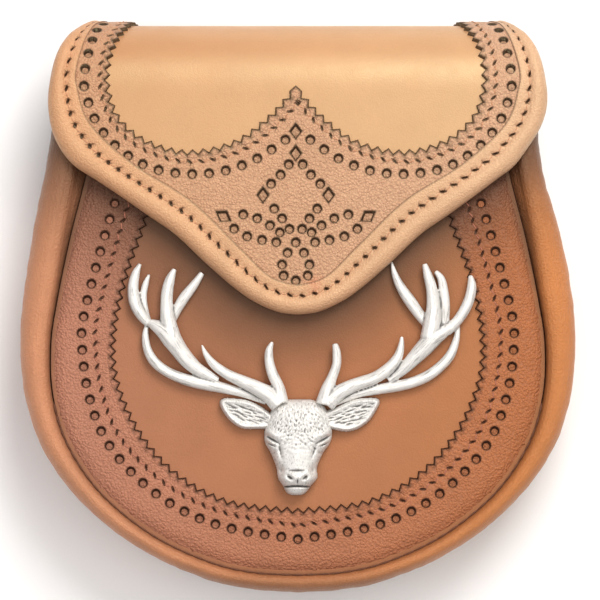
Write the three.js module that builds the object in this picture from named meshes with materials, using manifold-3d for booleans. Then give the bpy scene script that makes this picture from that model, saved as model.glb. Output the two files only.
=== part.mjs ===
// A leather day sporran: a pouch with a U-shaped gusset, a flap that wraps over its top,
// and a cast stag's head badge. It lies on its back.
// X is the width, Y runs up the bag, Z points out of the front. Millimetres.
import * as THREE from 'three';
import * as BufferGeometryUtils from 'three/addons/utils/BufferGeometryUtils.js';
import Module from 'manifold-3d';

const wasm = await Module();
wasm.setup();

// ---- Driving dimensions ----
const LEATHER = 2; // base leather
const OVERLAY = 1.2; // grained leather laid over the base
const GAP = 0.3; // between pieces that are sewn or riveted together
const FRAME_Y = 0.85; // the tables' zero line lies this far below the middle of the bag

const BACK_OUTER = 5.5; // height of the back panel's outer face
const FRONT_EDGE = 36.5; // height of the front panel's face along its seam
const FRONT_DOME = 2; // how far the middle of the front stands above its seam
const FRONT_TOP = 62; // upper edge of the front panel
const BACK_TOP = 72; // upper edge of the back panel

const ROLL_CREST = 39.8; // height of the gusset's front roll
const FLANGE = 6; // width of the gusset's edge sewn inside the panels

const FLAP_AXIS = { y: 72.7, z: 22.9 }; // axis that the flap bends round at the top
const FLAP_INNER = 18.8; // radius of the bent flap's inner face
const FLAP_FACE = 22; // radius on which the flap's flat pattern is measured
const FLAP_FALL = 0.014; // angle by which the flap's front leans back towards its tip
const BACK_END = 95; // where the flap's pattern ends on the back

const PINK_PITCH = 3.6; // width of a pinked tooth
const PINK_DEPTH = 1.7; // height of a pinked tooth
const HOLE_R = 1.5; // punched round hole
const HOLE_PITCH = 5.55; // between the holes of a row
const HOLE_SIDES = 6;
const MOTIF_X = -0.7; // the punched motif sits a little off the middle

// ---- Tables, right half only; the left mirrors it ----
// Seam of the front panel and gusset: half width x at height y, the roll's width outside it,
// and how far the roll stands off the panel's edge.
const SEAM = [
  { x: 65.0, y: 72, roll: 15.0, groove: 3.0 },
  { x: 67.0, y: 60, roll: 14.0, groove: 3.0 },
  { x: 70.3, y: 43.7, roll: 12.6, groove: 2.6 },
  { x: 75.6, y: 23, roll: 11.6, groove: 1.2 },
  { x: 79.8, y: 2.5, roll: 10.5, groove: 0.6 },
  { x: 81.8, y: -11.7, roll: 9.4, groove: 0.5 },
  { x: 81.2, y: -28, roll: 8.6, groove: 0.5 },
  { x: 76.4, y: -44.2, roll: 8.0, groove: 0.5 },
  { x: 65.3, y: -60.6, roll: 7.2, groove: 0.5 },
  { x: 48.3, y: -74.5, roll: 6.8, groove: 0.5 },
  { x: 29.5, y: -83.4, roll: 6.4, groove: 0.5 },
  { x: 14.8, y: -86.9, roll: 6.0, groove: 0.5 },
  { x: 0, y: -87.8, roll: 5.8, groove: 0.5 },
];
// Pinked window in the front border.
const WINDOW = [
  { x: 44.0, y: 56 },
  { x: 50.3, y: 30.8 },
  { x: 57.0, y: 11.4 },
  { x: 61.0, y: -8 },
  { x: 60.0, y: -24 },
  { x: 52.4, y: -41.1 },
  { x: 39.9, y: -54.9 },
  { x: 22.8, y: -63.9 },
  { x: 0, y: -66.8 },
];
// Row of holes round the window.
const FRONT_HOLES = [
  { x: 53.0, y: 56 },
  { x: 60.0, y: 36.8 },
  { x: 65.0, y: 20.3 },
  { x: 70.6, y: -1.2 },
  { x: 71.4, y: -11.7 },
  { x: 69.3, y: -27.6 },
  { x: 63.7, y: -42.7 },
  { x: 53.1, y: -55.6 },
  { x: 39.4, y: -65.7 },
  { x: 23.1, y: -72.1 },
  { x: 0, y: -75.9 },
];
// The flap's pattern is laid flat: s runs from the front's top line up over the roll, and
// is negative down the front.
const FLAP_EDGE = [
  { x: 59.0, s: 95 },
  { x: 63.0, s: 69 },
  { x: 69.0, s: 34.6 },
  { x: 72.4, s: 26 },
  { x: 76.4, s: 20.1 },
  { x: 79.5, s: 13.4 },
  { x: 81.8, s: 4.6 },
  { x: 82.4, s: -4 },
  { x: 81.2, s: -12 },
  { x: 77.9, s: -19.1 },
  { x: 72.9, s: -25 },
  { x: 65.8, s: -30 },
  { x: 50.2, s: -40.9 },
  { x: 40.4, s: -47.8 },
  { x: 30.6, s: -57 },
  { x: 21.9, s: -64.6 },
  { x: 14.9, s: -69.6 },
  { x: 6.9, s: -73.2 },
  { x: 0, s: -74.2 },
];
// Inner edge of the strip that binds the flap.
const BINDING_LINE = [
  { x: 54.0, s: 95 },
  { x: 58.0, s: 69 },
  { x: 64.0, s: 34.6 },
  { x: 67.3, s: 27 },
  { x: 72.6, s: 7.4 },
  { x: 72.3, s: 0 },
  { x: 68.0, s: -11.5 },
  { x: 54.1, s: -24.4 },
  { x: 35.3, s: -36.3 },
  { x: 19.5, s: -51.5 },
  { x: 9.2, s: -61.4 },
  { x: 0, s: -64.3 },
];
// Pinked upper edge of the flap's border, from its middle peak round to the back.
const PEAK_EDGE = [
  { x: 0, s: 0.2 },
  { x: 8.2, s: -9 },
  { x: 20.0, s: -17.6 },
  { x: 35.5, s: -20.9 },
  { x: 49.5, s: -17.2 },
  { x: 58.6, s: -9.5 },
  { x: 62.0, s: 0 },
  { x: 62.0, s: 8 },
  { x: 60.0, s: 17 },
  { x: 56.0, s: 29 },
  { x: 50.0, s: 60 },
  { x: 46.0, s: 97 },
];
// Row of holes below that edge.
const FLAP_HOLES = [
  { x: 4.1, s: -16.5 },
  { x: 14.2, s: -23.1 },
  { x: 25.4, s: -27 },
  { x: 37.4, s: -27.7 },
  { x: 49.2, s: -25.4 },
  { x: 59.4, s: -19.1 },
  { x: 66.5, s: -10.4 },
  { x: 70.1, s: -0.3 },
  { x: 70.3, s: 4.8 },
  { x: 68.6, s: 14.5 },
  { x: 66.1, s: 24.5 },
];
// Punched motif: x is measured from the motif's own middle, and rows off it are mirrored.
const MOTIF_HOLES = [
  { x: 2.3, s: -24.6 },
  { x: 5.0, s: -28.0 },
  { x: 8.1, s: -31.0 },
  { x: 7.1, s: -39.2 },
  { x: 4.5, s: -42.4 },
  { x: 2.1, s: -45.9 },
  { x: 17.3, s: -41.1 },
  { x: 12.7, s: -42.4 },
  { x: 8.5, s: -44.7 },
  { x: 4.9, s: -47.5 },
  { x: 20.3, s: -45.8 },
  { x: 16.0, s: -48.3 },
  { x: 11.1, s: -49.5 },
  { x: 6.2, s: -50.0 },
  { x: 0, s: -50.3 },
  { x: 2.7, s: -53.7 },
  { x: 4.5, s: -57.6 },
  { x: 4.0, s: -61.2 },
];
const MOTIF_DIAMONDS = [
  { x: 0, s: -13.7, turn: 0 },
  { x: 0, s: -20.9, turn: 0 },
  { x: 10.8, s: -34.7, turn: 0 },
  { x: 23.6, s: -41.7, turn: 1.05 },
];
const DIAMOND = { halfWidth: 1.8, halfHeight: 2.6 };

// Section of the gusset's wall across the roll: out is a share of the roll's width.
const GUSSET_SECTION = [
  { out: 0.05, z: ROLL_CREST - 1.6 },
  { out: 0.28, z: ROLL_CREST - 0.1 },
  { out: 0.6, z: ROLL_CREST - 0.3 },
  { out: 0.88, z: ROLL_CREST - 2.6 },
  { out: 1, z: ROLL_CREST - 6.5 },
  { out: 0.92, z: 20 },
  { out: 1, z: 6.5 },
  { out: 0.9, z: 1.8 },
  { out: 0.72, z: 0 },
  { out: 0.3, z: 0 },
  { out: 0.05, z: 2 },
];
// Section of the flap's bound edge: across is a share of the strip's width from its rim,
// height is above the flap's inner face.
const BINDING_SECTION = [
  { across: 1, height: 3.2 },
  { across: 0.64, height: 3.1 },
  { across: 0.45, height: 3.8 },
  { across: 0.18, height: 3.6 },
  { across: 0.02, height: 2.2 },
  { across: 0.03, height: 0.2 },
  { across: 0.16, height: -1 },
  { across: 0.55, height: -1 },
];
const BINDING_WALL = 0.8;
const BINDING_WIDTH = 10; // usual width of the strip
const TIP_HALF = 0.5; // half width of a sheet's blunt end at the flap's tip
const BINDING_FOLD = 2; // the flap's leather stops this far inside the bound rim

// Badge. Each branch of the antlers is a row of centres with their radii, tip first.
const BADGE_BACK = FRONT_EDGE + FRONT_DOME + 0.8; // height of the cast badge's flat back
const BRANCH_SIDES = 6;
const LEFT_ANTLER = [
  // outer tine
  [[-52.1, 15.0, 0.5], [-54.2, 10.5, 1.4], [-54.3, 5.0, 1.7], [-52.6, -0.4, 1.8], [-49.4, -4.2, 1.4]],
  // short tine beside it
  [[-49.1, 11.5, 0.4], [-50.8, 7.0, 1.0], [-50.9, 2.5, 1.0], [-49.6, -3.6, 1.0]],
  // tall tine
  [[-40.7, 13.3, 0.6], [-42.6, 8.5, 1.6], [-43.2, 2.0, 1.8], [-42.9, -4.0, 2.4], [-42.2, -8.0, 2.8]],
  // inner tine
  [[-31.6, 12.2, 0.7], [-35.0, 7.2, 1.4], [-38.4, 2.6, 1.6], [-42.0, -3.6, 1.3]],
  // crown and main beam
  [[-49.6, -4.4, 1.1], [-45.6, -6.6, 2.0], [-41.8, -9.6, 2.9], [-38.4, -14.3, 2.5],
    [-34.4, -18.8, 2.1], [-30.0, -21.6, 1.6], [-26.4, -23.6, 1.2]],
  // outer beam
  [[-49.8, -4.6, 0.5], [-50.2, -10.5, 1.1], [-47.4, -17.1, 1.5], [-41.0, -21.6, 1.5],
    [-32.0, -24.4, 1.8], [-23.0, -26.2, 1.5], [-10.4, -30.2, 1.3]],
  // middle tine
  [[-31.7, -11.8, 0.3], [-29.3, -16.3, 1.1], [-24.4, -20.8, 1.5], [-17.6, -24.2, 1.9],
    [-10.4, -27.6, 2.4], [-6.4, -31.2, 2.7]],
  // brow tine
  [[-8.4, -10.8, 0.4], [-9.6, -15.0, 1.3], [-8.4, -21.3, 1.6], [-6.1, -26.5, 1.8], [-5.6, -31.0, 2.3]],
];
const RIGHT_ANTLER = [
  // outer tine
  [[56.9, 11.1, 0.6], [57.3, 6.5, 1.5], [55.6, 1.0, 1.6], [52.4, -4.0, 1.5], [49.0, -7.2, 1.6]],
  // short tine beside it
  [[45.5, 12.5, 0.6], [47.8, 8.4, 1.3], [48.6, 2.5, 1.5], [48.0, -6.6, 1.3]],
  // tall tine
  [[41.8, 14.9, 0.7], [43.4, 9.0, 1.5], [44.6, 2.0, 2.0], [44.3, -4.5, 2.6], [43.6, -9.5, 2.8]],
  // inner tine
  [[30.9, 15.6, 0.3], [32.6, 10.0, 1.2], [36.3, 3.8, 1.8], [42.6, -4.4, 1.4]],
  // crown and main beam
  [[50.6, -5.6, 1.2], [46.6, -8.2, 2.2], [42.4, -11.8, 2.7], [38.2, -16.3, 2.2],
    [34.0, -20.5, 1.5], [29.4, -24.0, 1.0]],
  // outer beam
  [[53.0, -5.8, 0.6], [52.0, -11.2, 1.1], [48.2, -17.8, 1.5], [41.0, -23.0, 1.6],
    [32.0, -25.5, 1.6], [23.0, -27.0, 1.3], [11.4, -31.0, 1.2]],
  // middle tine
  [[34.3, -9.2, 0.5], [33.7, -13.5, 1.2], [30.4, -19.0, 1.8], [24.4, -23.2, 1.8],
    [16.4, -25.8, 2.1], [9.8, -30.8, 2.5]],
  // brow tine
  [[12.3, -11.4, 0.8], [12.9, -16.4, 1.3], [11.3, -22.4, 1.5], [9.3, -27.2, 2.0], [8.6, -31.0, 2.3]],
];
// Head from crown to chin: middle x, half width and how far it stands off its back.
const HEAD = [
  { y: -30.4, middle: 0.6, half: 6.0, rise: 3.6 },
  { y: -33.0, middle: 0.5, half: 8.8, rise: 5.4 },
  { y: -37.0, middle: 0.3, half: 10.6, rise: 6.4 },
  { y: -41.0, middle: 0.1, half: 11.2, rise: 6.8 },
  { y: -44.4, middle: -0.1, half: 10.5, rise: 6.8 },
  { y: -47.6, middle: -0.2, half: 8.5, rise: 6.8 },
  { y: -52.0, middle: -0.3, half: 6.9, rise: 6.8 },
  { y: -55.6, middle: -0.1, half: 6.5, rise: 7.4 },
  { y: -58.4, middle: -0.2, half: 4.4, rise: 6.2 },
  { y: -61.2, middle: -0.4, half: 1.8, rise: 3.4 },
];
const EARS = [
  [[-8.0, -34.8], [-16.5, -30.2], [-24.1, -29.6], [-25.9, -31.0], [-23.4, -35.8], [-18.8, -39.3],
    [-8.0, -39.0]],
  [[8.0, -38.8], [16.4, -40.2], [22.1, -38.2], [25.9, -33.6], [27.0, -30.8], [25.6, -29.5],
    [18.3, -29.9], [8.0, -34.2]],
];
const EAR_THICK = 3;

// Hidden pieces.
const STUD = { y: 16, radius: 6, thick: 1.6 }; // closure under the flap's tip
const LOOP = { x: 40, width: 22, low: -20, high: 36, sewn: 9 }; // belt loops on the back

// ---- Materials ----
const leather = (colour, roughness) =>
  new THREE.MeshStandardMaterial({ color: colour, roughness, metalness: 0 });
const SMOOTH_TAN = leather(0xb8734b, 0.5);
const FLAP_TAN = leather(0xdfa876, 0.42);
const GRAINED_TAN = leather(0xc88f69, 0.6);
const PEWTER = new THREE.MeshStandardMaterial({ color: 0xd8d6d2, roughness: 0.35, metalness: 1 });
const BRASS = new THREE.MeshStandardMaterial({ color: 0xb08d57, roughness: 0.4, metalness: 1 });

// ---- Solids ----
function solidOf(geometry) {
  const bare = geometry.clone();
  bare.deleteAttribute('normal');
  bare.deleteAttribute('uv');
  const merged = BufferGeometryUtils.mergeVertices(bare, 1e-5);
  return new wasm.Manifold(new wasm.Mesh({
    numProp: 3,
    vertProperties: merged.getAttribute('position').array,
    triVerts: new Uint32Array(merged.getIndex().array),
  }));
}

function geometryOf(solid) {
  const mesh = solid.getMesh();
  const geometry = new THREE.BufferGeometry();
  geometry.setAttribute('position', new THREE.BufferAttribute(mesh.vertProperties, mesh.numProp));
  geometry.setIndex(new THREE.BufferAttribute(mesh.triVerts, 1));
  return geometry;
}

// A closed body of points and triangles, turned so that its faces point out.
function closedBody(positions, triangles) {
  const corner = (i) => new THREE.Vector3(...positions.slice(3 * i, 3 * i + 3));
  let volume = 0;
  for (let i = 0; i < triangles.length; i += 3) {
    const [a, b, c] = triangles.slice(i, i + 3).map(corner);
    volume += a.dot(b.cross(c));
  }
  const geometry = new THREE.BufferGeometry();
  geometry.setAttribute('position', new THREE.Float32BufferAttribute(positions, 3));
  geometry.setIndex(volume < 0 ? triangles.reverse() : triangles);
  return geometry;
}

// A closed sheet between two faces given point by point on a grid.
function sheet(rows, columns, outerAt, innerAt) {
  const positions = [];
  const triangles = [];
  const index = (side, i, j) => side * rows * columns + i * columns + j;
  for (const pointAt of [outerAt, innerAt]) {
    for (let i = 0; i < rows; i++) {
      for (let j = 0; j < columns; j++) {
        positions.push(...pointAt(i, j).toArray());
      }
    }
  }
  const quad = (a, b, c, d) => triangles.push(a, b, c, a, c, d);
  for (let i = 0; i + 1 < rows; i++) {
    for (let j = 0; j + 1 < columns; j++) {
      quad(index(0, i, j), index(0, i + 1, j), index(0, i + 1, j + 1), index(0, i, j + 1));
      quad(index(1, i, j), index(1, i, j + 1), index(1, i + 1, j + 1), index(1, i + 1, j));
    }
    quad(index(0, i, 0), index(1, i, 0), index(1, i + 1, 0), index(0, i + 1, 0));
    quad(index(0, i, columns - 1), index(0, i + 1, columns - 1), index(1, i + 1, columns - 1),
      index(1, i, columns - 1));
  }
  for (let j = 0; j + 1 < columns; j++) {
    quad(index(0, 0, j), index(0, 0, j + 1), index(1, 0, j + 1), index(1, 0, j));
    quad(index(0, rows - 1, j), index(1, rows - 1, j), index(1, rows - 1, j + 1),
      index(0, rows - 1, j + 1));
  }
  return closedBody(positions, triangles);
}

// ---- Curves ----
const curveOf = (table) =>
  new THREE.SplineCurve(table.map((row) => new THREE.Vector2(row.x, row.y ?? row.s)));

const mirrorOf = (points) => points.map((point) => new THREE.Vector2(-point.x, point.y));

// Points of the right half followed by the mirrored left half, which is a closed outline
// when both ends are joined. The shared middle point is kept once.
function outlineOf(half) {
  const left = mirrorOf(half).reverse();
  return half[half.length - 1].x === 0 ? [...half, ...left.slice(1)] : [...half, ...left];
}

// Teeth along a path: points step to one side and the other by half a pitch.
function pinked(curve, pitch, depth) {
  const steps = 2 * Math.round(curve.getLength() / pitch);
  const points = [];
  for (let i = 0; i <= steps; i++) {
    const point = curve.getPointAt(i / steps);
    const along = curve.getTangentAt(i / steps);
    const side = (i % 2 === 0 ? -0.5 : 0.5) * depth;
    points.push(new THREE.Vector2(point.x - along.y * side, point.y + along.x * side));
  }
  points[0].x = 0;
  return points;
}

// Places at an even pitch along a path, mirrored to both halves.
function holesAlong(curve, pitch) {
  const count = Math.round(curve.getLength() / pitch);
  const right = curve.getSpacedPoints(count);
  return [...right, ...mirrorOf(right.filter((point) => Math.abs(point.x) > HOLE_R))];
}

// ---- Front and back ----
const domeAt = (x, y) => {
  const across = THREE.MathUtils.clamp(1 - (x / 82) ** 2, 0, 1);
  const along = THREE.MathUtils.clamp(1 - ((y + 13) / 76) ** 2, 0, 1);
  return FRONT_DOME * across * along;
};

const seamCurve = curveOf(SEAM);
const SEAM_STEPS = 17;
const PANEL_COLUMNS = 7;

function domedPanel(low, high) {
  const rows = seamCurve.getSpacedPoints(SEAM_STEPS).filter((point) => point.y <= FRONT_TOP);
  rows[rows.length - 1] = new THREE.Vector2(3, rows[rows.length - 1].y);
  const at = (height) => (i, j) => {
    const x = rows[i].x * (1 - (2 * j) / (PANEL_COLUMNS - 1));
    return new THREE.Vector3(x, rows[i].y, height + domeAt(x, rows[i].y));
  };
  return solidOf(sheet(rows.length, PANEL_COLUMNS, at(high), at(low)));
}

// An upright prism of a closed outline between two heights.
function prism(points, low, high) {
  const shape = new THREE.Shape(points);
  return new THREE.ExtrudeGeometry(shape, { depth: high - low, bevelEnabled: false, steps: 1 })
    .translate(0, 0, low);
}

function frontPanel() {
  return geometryOf(domedPanel(FRONT_EDGE - LEATHER, FRONT_EDGE));
}

function frontBorder() {
  const low = FRONT_EDGE + GAP;
  let border = domedPanel(low, low + OVERLAY);
  // The window's teeth start at the bottom middle and run up; its top is open.
  const edge = pinked(curveOf([...WINDOW].reverse()), PINK_PITCH, PINK_DEPTH);
  const top = new THREE.Vector2(edge[edge.length - 1].x, FRONT_TOP + 5);
  const half = [top, ...edge.reverse()];
  border = border.subtract(solidOf(prism(outlineOf(half), low - 4, low + 8)));
  const punch = new THREE.CylinderGeometry(HOLE_R, HOLE_R, 12, HOLE_SIDES).rotateX(Math.PI / 2);
  for (const place of holesAlong(curveOf([...FRONT_HOLES].reverse()), HOLE_PITCH)) {
    border = border.subtract(solidOf(punch.clone().translate(place.x, place.y, low)));
  }
  return geometryOf(border);
}

function backPanel() {
  const half = seamCurve.getSpacedPoints(SEAM_STEPS);
  return prism(outlineOf(half), BACK_OUTER, BACK_OUTER + LEATHER);
}

// ---- Gusset ----
// Both faces of the wall at one station, as distances out from the seam and heights.
function gussetWall(roll, groove) {
  const frontFlange = FRONT_EDGE - LEATHER - GAP;
  const backFlange = BACK_OUTER + LEATHER + GAP;
  const outer = [
    new THREE.Vector2(-FLANGE, frontFlange),
    new THREE.Vector2(groove, frontFlange),
    ...GUSSET_SECTION.map((row) => new THREE.Vector2(groove + row.out * (roll - groove), row.z)),
    new THREE.Vector2(groove, backFlange),
    new THREE.Vector2(-FLANGE, backFlange),
  ];
  const wall = Math.min(LEATHER, 0.24 * roll);
  const inner = outer.map((point, i) => {
    const next = outer[Math.min(i + 1, outer.length - 1)];
    const last = outer[Math.max(i - 1, 0)];
    const along = next.clone().sub(last).normalize();
    return new THREE.Vector2(point.x + along.y * wall, point.y - along.x * wall);
  });
  // The flanges lie flat, and the wall turns out of them without crossing itself.
  const turn = groove + wall;
  inner[0].set(-FLANGE, frontFlange - wall);
  inner[1].set(turn, frontFlange - wall);
  inner[2].set(Math.max(inner[2].x, turn + 0.2), Math.min(inner[2].y, ROLL_CREST - 2 * wall));
  const count = inner.length;
  inner[count - 1].set(-FLANGE, backFlange + wall);
  inner[count - 2].set(turn, backFlange + wall);
  const foot = inner[count - 3];
  foot.set(Math.max(foot.x, turn + 0.2), Math.max(foot.y, 2 * wall));
  return { outer, inner };
}

function gusset() {
  const widths = new THREE.SplineCurve(SEAM.map((row) => new THREE.Vector2(row.roll, row.groove)));
  const half = [];
  for (let i = 0; i <= SEAM_STEPS; i++) {
    // The seam's table is spaced unevenly, so place and widths are read at one parameter.
    const t = seamCurve.getUtoTmapping(i / SEAM_STEPS);
    const place = seamCurve.getPoint(t);
    const along = seamCurve.getTangent(t);
    const out = i === SEAM_STEPS ? new THREE.Vector2(0, -1) : new THREE.Vector2(-along.y, along.x);
    const width = widths.getPoint(t);
    half.push({ place, out, wall: gussetWall(width.x, width.y) });
  }
  const left = half.slice(0, -1).reverse().map((station) => ({
    place: new THREE.Vector2(-station.place.x, station.place.y),
    out: new THREE.Vector2(-station.out.x, station.out.y),
    wall: station.wall,
  }));
  const stations = [...half, ...left];
  const at = (face) => (i, j) => {
    const { place, out, wall } = stations[i];
    const point = wall[face][j];
    return new THREE.Vector3(place.x + out.x * point.x, place.y + out.y * point.x, point.y);
  };
  return sheet(stations.length, half[0].wall.outer.length, at('outer'), at('inner'));
}

// ---- Flap ----
// Where a point of the flat pattern lies once the flap is bent, with its height above the
// flap's inner face.
const ARC = Math.PI + FLAP_FALL;
function bend(x, s, height) {
  const reach = FLAP_INNER + height;
  const turn = THREE.MathUtils.clamp(s / FLAP_FACE, 0, ARC) - FLAP_FALL;
  const straight = s < 0 ? s : Math.max(s - ARC * FLAP_FACE, 0);
  const y = FLAP_AXIS.y + Math.sin(turn) * reach + Math.cos(turn) * straight;
  const z = FLAP_AXIS.z + Math.cos(turn) * reach - Math.sin(turn) * straight;
  return new THREE.Vector3(x, y, z);
}

const flapEdge = curveOf(FLAP_EDGE);
const bindingLine = curveOf(BINDING_LINE);
const BEND_STEPS = 10;
const FRONT_STEPS = 16;

// How far along a pattern curve it passes a given s, by halving; s falls along the curve.
function shareAt(curve, s) {
  let low = 0;
  let high = 1;
  for (let i = 0; i < 30; i++) {
    const middle = (low + high) / 2;
    if (curve.getPointAt(middle).y > s) {
      low = middle;
    } else {
      high = middle;
    }
  }
  return low;
}

// Half of a pattern edge, moved inwards: rows at the same s on every layer round the bend,
// and an even spacing down the flat front.
function patternPath(curve, inset) {
  const rows = [new THREE.Vector2(curve.getPointAt(0).x - inset, BACK_END)];
  for (let i = BEND_STEPS; i >= 0; i--) {
    const s = (ARC * FLAP_FACE * i) / BEND_STEPS;
    rows.push(new THREE.Vector2(curve.getPointAt(shareAt(curve, s)).x - inset, s));
  }
  const start = shareAt(curve, 0);
  for (let i = 1; i <= FRONT_STEPS; i++) {
    const u = start + ((1 - start) * i) / FRONT_STEPS;
    const point = curve.getPointAt(u);
    const along = i === FRONT_STEPS ? new THREE.Vector2(-1, 0) : curve.getTangentAt(u);
    rows.push(new THREE.Vector2(point.x + along.y * inset, point.y - along.x * inset));
  }
  return rows;
}

// A bent sheet that spans straight across between the two halves of an edge.
function bentSpan(curve, inset, low, high) {
  const rows = patternPath(curve, inset);
  rows[rows.length - 1].x = TIP_HALF;
  const at = (height) => (i, j) => bend(rows[i].x * (1 - 2 * j), rows[i].y, height);
  return solidOf(sheet(rows.length, 2, at(high), at(low)));
}

// A bent block over a closed outline of the pattern, filled by rings round a middle point.
function bentBlock(outline, middle, low, high, rings) {
  const count = outline.length;
  const positions = [];
  const triangles = [];
  const onRing = (ring, k) => (ring === 0 ? 0 : 1 + (ring - 1) * count + (k % count));
  const index = (side, ring, k) => side * (rings * count + 1) + onRing(ring, k);
  for (const height of [high, low]) {
    positions.push(...bend(middle.x, middle.y, height).toArray());
    for (let ring = 1; ring <= rings; ring++) {
      for (const point of outline) {
        const spot = middle.clone().lerp(point, ring / rings);
        positions.push(...bend(spot.x, spot.y, height).toArray());
      }
    }
  }
  for (let k = 0; k < count; k++) {
    triangles.push(index(0, 0, 0), index(0, 1, k), index(0, 1, k + 1));
    triangles.push(index(1, 0, 0), index(1, 1, k + 1), index(1, 1, k));
    for (let ring = 1; ring < rings; ring++) {
      const quad = (side) => [index(side, ring, k), index(side, ring + 1, k),
        index(side, ring + 1, k + 1), index(side, ring, k + 1)];
      const [a, b, c, d] = quad(0);
      triangles.push(a, b, c, a, c, d);
      const [e, f, g, h] = quad(1);
      triangles.push(e, g, f, e, h, g);
    }
    const top = index(0, rings, k);
    const nextTop = index(0, rings, k + 1);
    const foot = index(1, rings, k);
    const nextFoot = index(1, rings, k + 1);
    triangles.push(top, foot, nextFoot, top, nextFoot, nextTop);
  }
  return closedBody(positions, triangles);
}

// A punch set square to the bent flap.
function punchAt(shape, x, s) {
  const turn = THREE.MathUtils.clamp(s / FLAP_FACE, 0, ARC) - FLAP_FALL;
  const place = bend(x, s, LEATHER + GAP - 1);
  return shape.clone().rotateX(-turn).translate(place.x, place.y, place.z);
}

function flap() {
  return geometryOf(bentSpan(flapEdge, BINDING_FOLD + GAP, 0, LEATHER));
}

function flapBorder() {
  const low = LEATHER;
  let border = bentSpan(bindingLine, GAP, low + GAP, low + GAP + OVERLAY);
  const edge = pinked(curveOf(PEAK_EDGE), PINK_PITCH, PINK_DEPTH);
  edge[0].x = 0;
  const left = mirrorOf(edge).reverse();
  const outline = [...edge, ...left.slice(0, -1)]
    .map((point) => new THREE.Vector2(point.x + MOTIF_X, point.y));
  const middle = new THREE.Vector2(MOTIF_X, 34);
  border = border.subtract(solidOf(bentBlock(outline, middle, low - 0.6, low + 5, 8)));
  const round = new THREE.CylinderGeometry(HOLE_R, HOLE_R, 5, HOLE_SIDES).rotateX(Math.PI / 2);
  const { halfWidth, halfHeight } = DIAMOND;
  const diamond = prism([
    new THREE.Vector2(0, -halfHeight),
    new THREE.Vector2(halfWidth, 0),
    new THREE.Vector2(0, halfHeight),
    new THREE.Vector2(-halfWidth, 0),
  ], -2.5, 2.5);
  const sides = (row) => (row.x === 0 ? [1] : [1, -1]);
  for (const place of holesAlong(curveOf(FLAP_HOLES), HOLE_PITCH)) {
    border = border.subtract(solidOf(punchAt(round, place.x, place.y)));
  }
  for (const row of MOTIF_HOLES) {
    for (const side of sides(row)) {
      border = border.subtract(solidOf(punchAt(round, MOTIF_X + side * row.x, row.s)));
    }
  }
  for (const row of MOTIF_DIAMONDS) {
    for (const side of sides(row)) {
      const cutter = diamond.clone().rotateZ(side * row.turn);
      border = border.subtract(solidOf(punchAt(cutter, MOTIF_X + side * row.x, row.s)));
    }
  }
  return geometryOf(border);
}

function flapBinding() {
  const rims = patternPath(flapEdge, 0);
  const lines = patternPath(bindingLine, 0);
  const half = rims.map((rim, i) => ({ rim, line: lines[i] }));
  const left = half.slice(0, -1).reverse().map(({ rim, line }) => ({
    rim: mirrorOf([rim])[0],
    line: mirrorOf([line])[0],
  }));
  const stations = [...half, ...left];
  const count = BINDING_SECTION.length;
  const inner = BINDING_SECTION.map((row, j) => {
    const next = BINDING_SECTION[Math.min(j + 1, count - 1)];
    const last = BINDING_SECTION[Math.max(j - 1, 0)];
    const run = (next.across - last.across) * BINDING_WIDTH;
    const along = new THREE.Vector2(run, next.height - last.height).normalize();
    return {
      across: row.across - (along.y * BINDING_WALL) / BINDING_WIDTH,
      height: row.height + along.x * BINDING_WALL,
    };
  });
  const at = (section) => (i, j) => {
    const { rim, line } = stations[i];
    const spot = rim.clone().lerp(line, section[j].across);
    return bend(spot.x, spot.y, section[j].height);
  };
  return sheet(stations.length, count, at(BINDING_SECTION), at(inner));
}

// ---- Badge ----
// One tapering branch: rings round a curve through its centres, flattened on the back.
function branch(rows) {
  const curve = new THREE.CatmullRomCurve3(
    rows.map(([x, y, radius]) => new THREE.Vector3(x, y, BADGE_BACK + 0.55 * radius)));
  const radii = new THREE.SplineCurve(rows.map(([, , radius], i) => new THREE.Vector2(i, radius)));
  const steps = rows.length + 1;
  const ring = (i, k) => {
    const middle = curve.getPoint(i / steps);
    const along = curve.getTangent(i / steps).setZ(0).normalize();
    const across = new THREE.Vector3(-along.y, along.x, 0);
    const radius = Math.max(radii.getPoint(i / steps).y, 0.3);
    const angle = (2 * Math.PI * k) / BRANCH_SIDES;
    return middle.addScaledVector(across, radius * Math.cos(angle))
      .add(new THREE.Vector3(0, 0, radius * Math.sin(angle)));
  };
  const positions = [];
  const triangles = [];
  for (let i = 0; i <= steps; i++) {
    for (let k = 0; k < BRANCH_SIDES; k++) {
      positions.push(...ring(i, k).toArray());
    }
  }
  for (let i = 0; i < steps; i++) {
    for (let k = 0; k < BRANCH_SIDES; k++) {
      const a = i * BRANCH_SIDES + k;
      const b = i * BRANCH_SIDES + ((k + 1) % BRANCH_SIDES);
      triangles.push(a, b, b + BRANCH_SIDES, a, b + BRANCH_SIDES, a + BRANCH_SIDES);
    }
  }
  for (let k = 1; k + 1 < BRANCH_SIDES; k++) {
    const far = steps * BRANCH_SIDES;
    triangles.push(0, k + 1, k, far, far + k, far + k + 1);
  }
  return closedBody(positions, triangles);
}

const HEAD_COLUMNS = 9;
function head() {
  const at = (share) => (i, j) => {
    const angle = (Math.PI * j) / (HEAD_COLUMNS - 1);
    const row = HEAD[i];
    const height = share * row.rise * Math.sin(angle) ** 0.7;
    return new THREE.Vector3(row.middle + row.half * Math.cos(angle), row.y, BADGE_BACK + 1 + height);
  };
  const floor = (i, j) => at(0)(i, j).setZ(BADGE_BACK - 2);
  return sheet(HEAD.length, HEAD_COLUMNS, at(1), floor);
}

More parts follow.
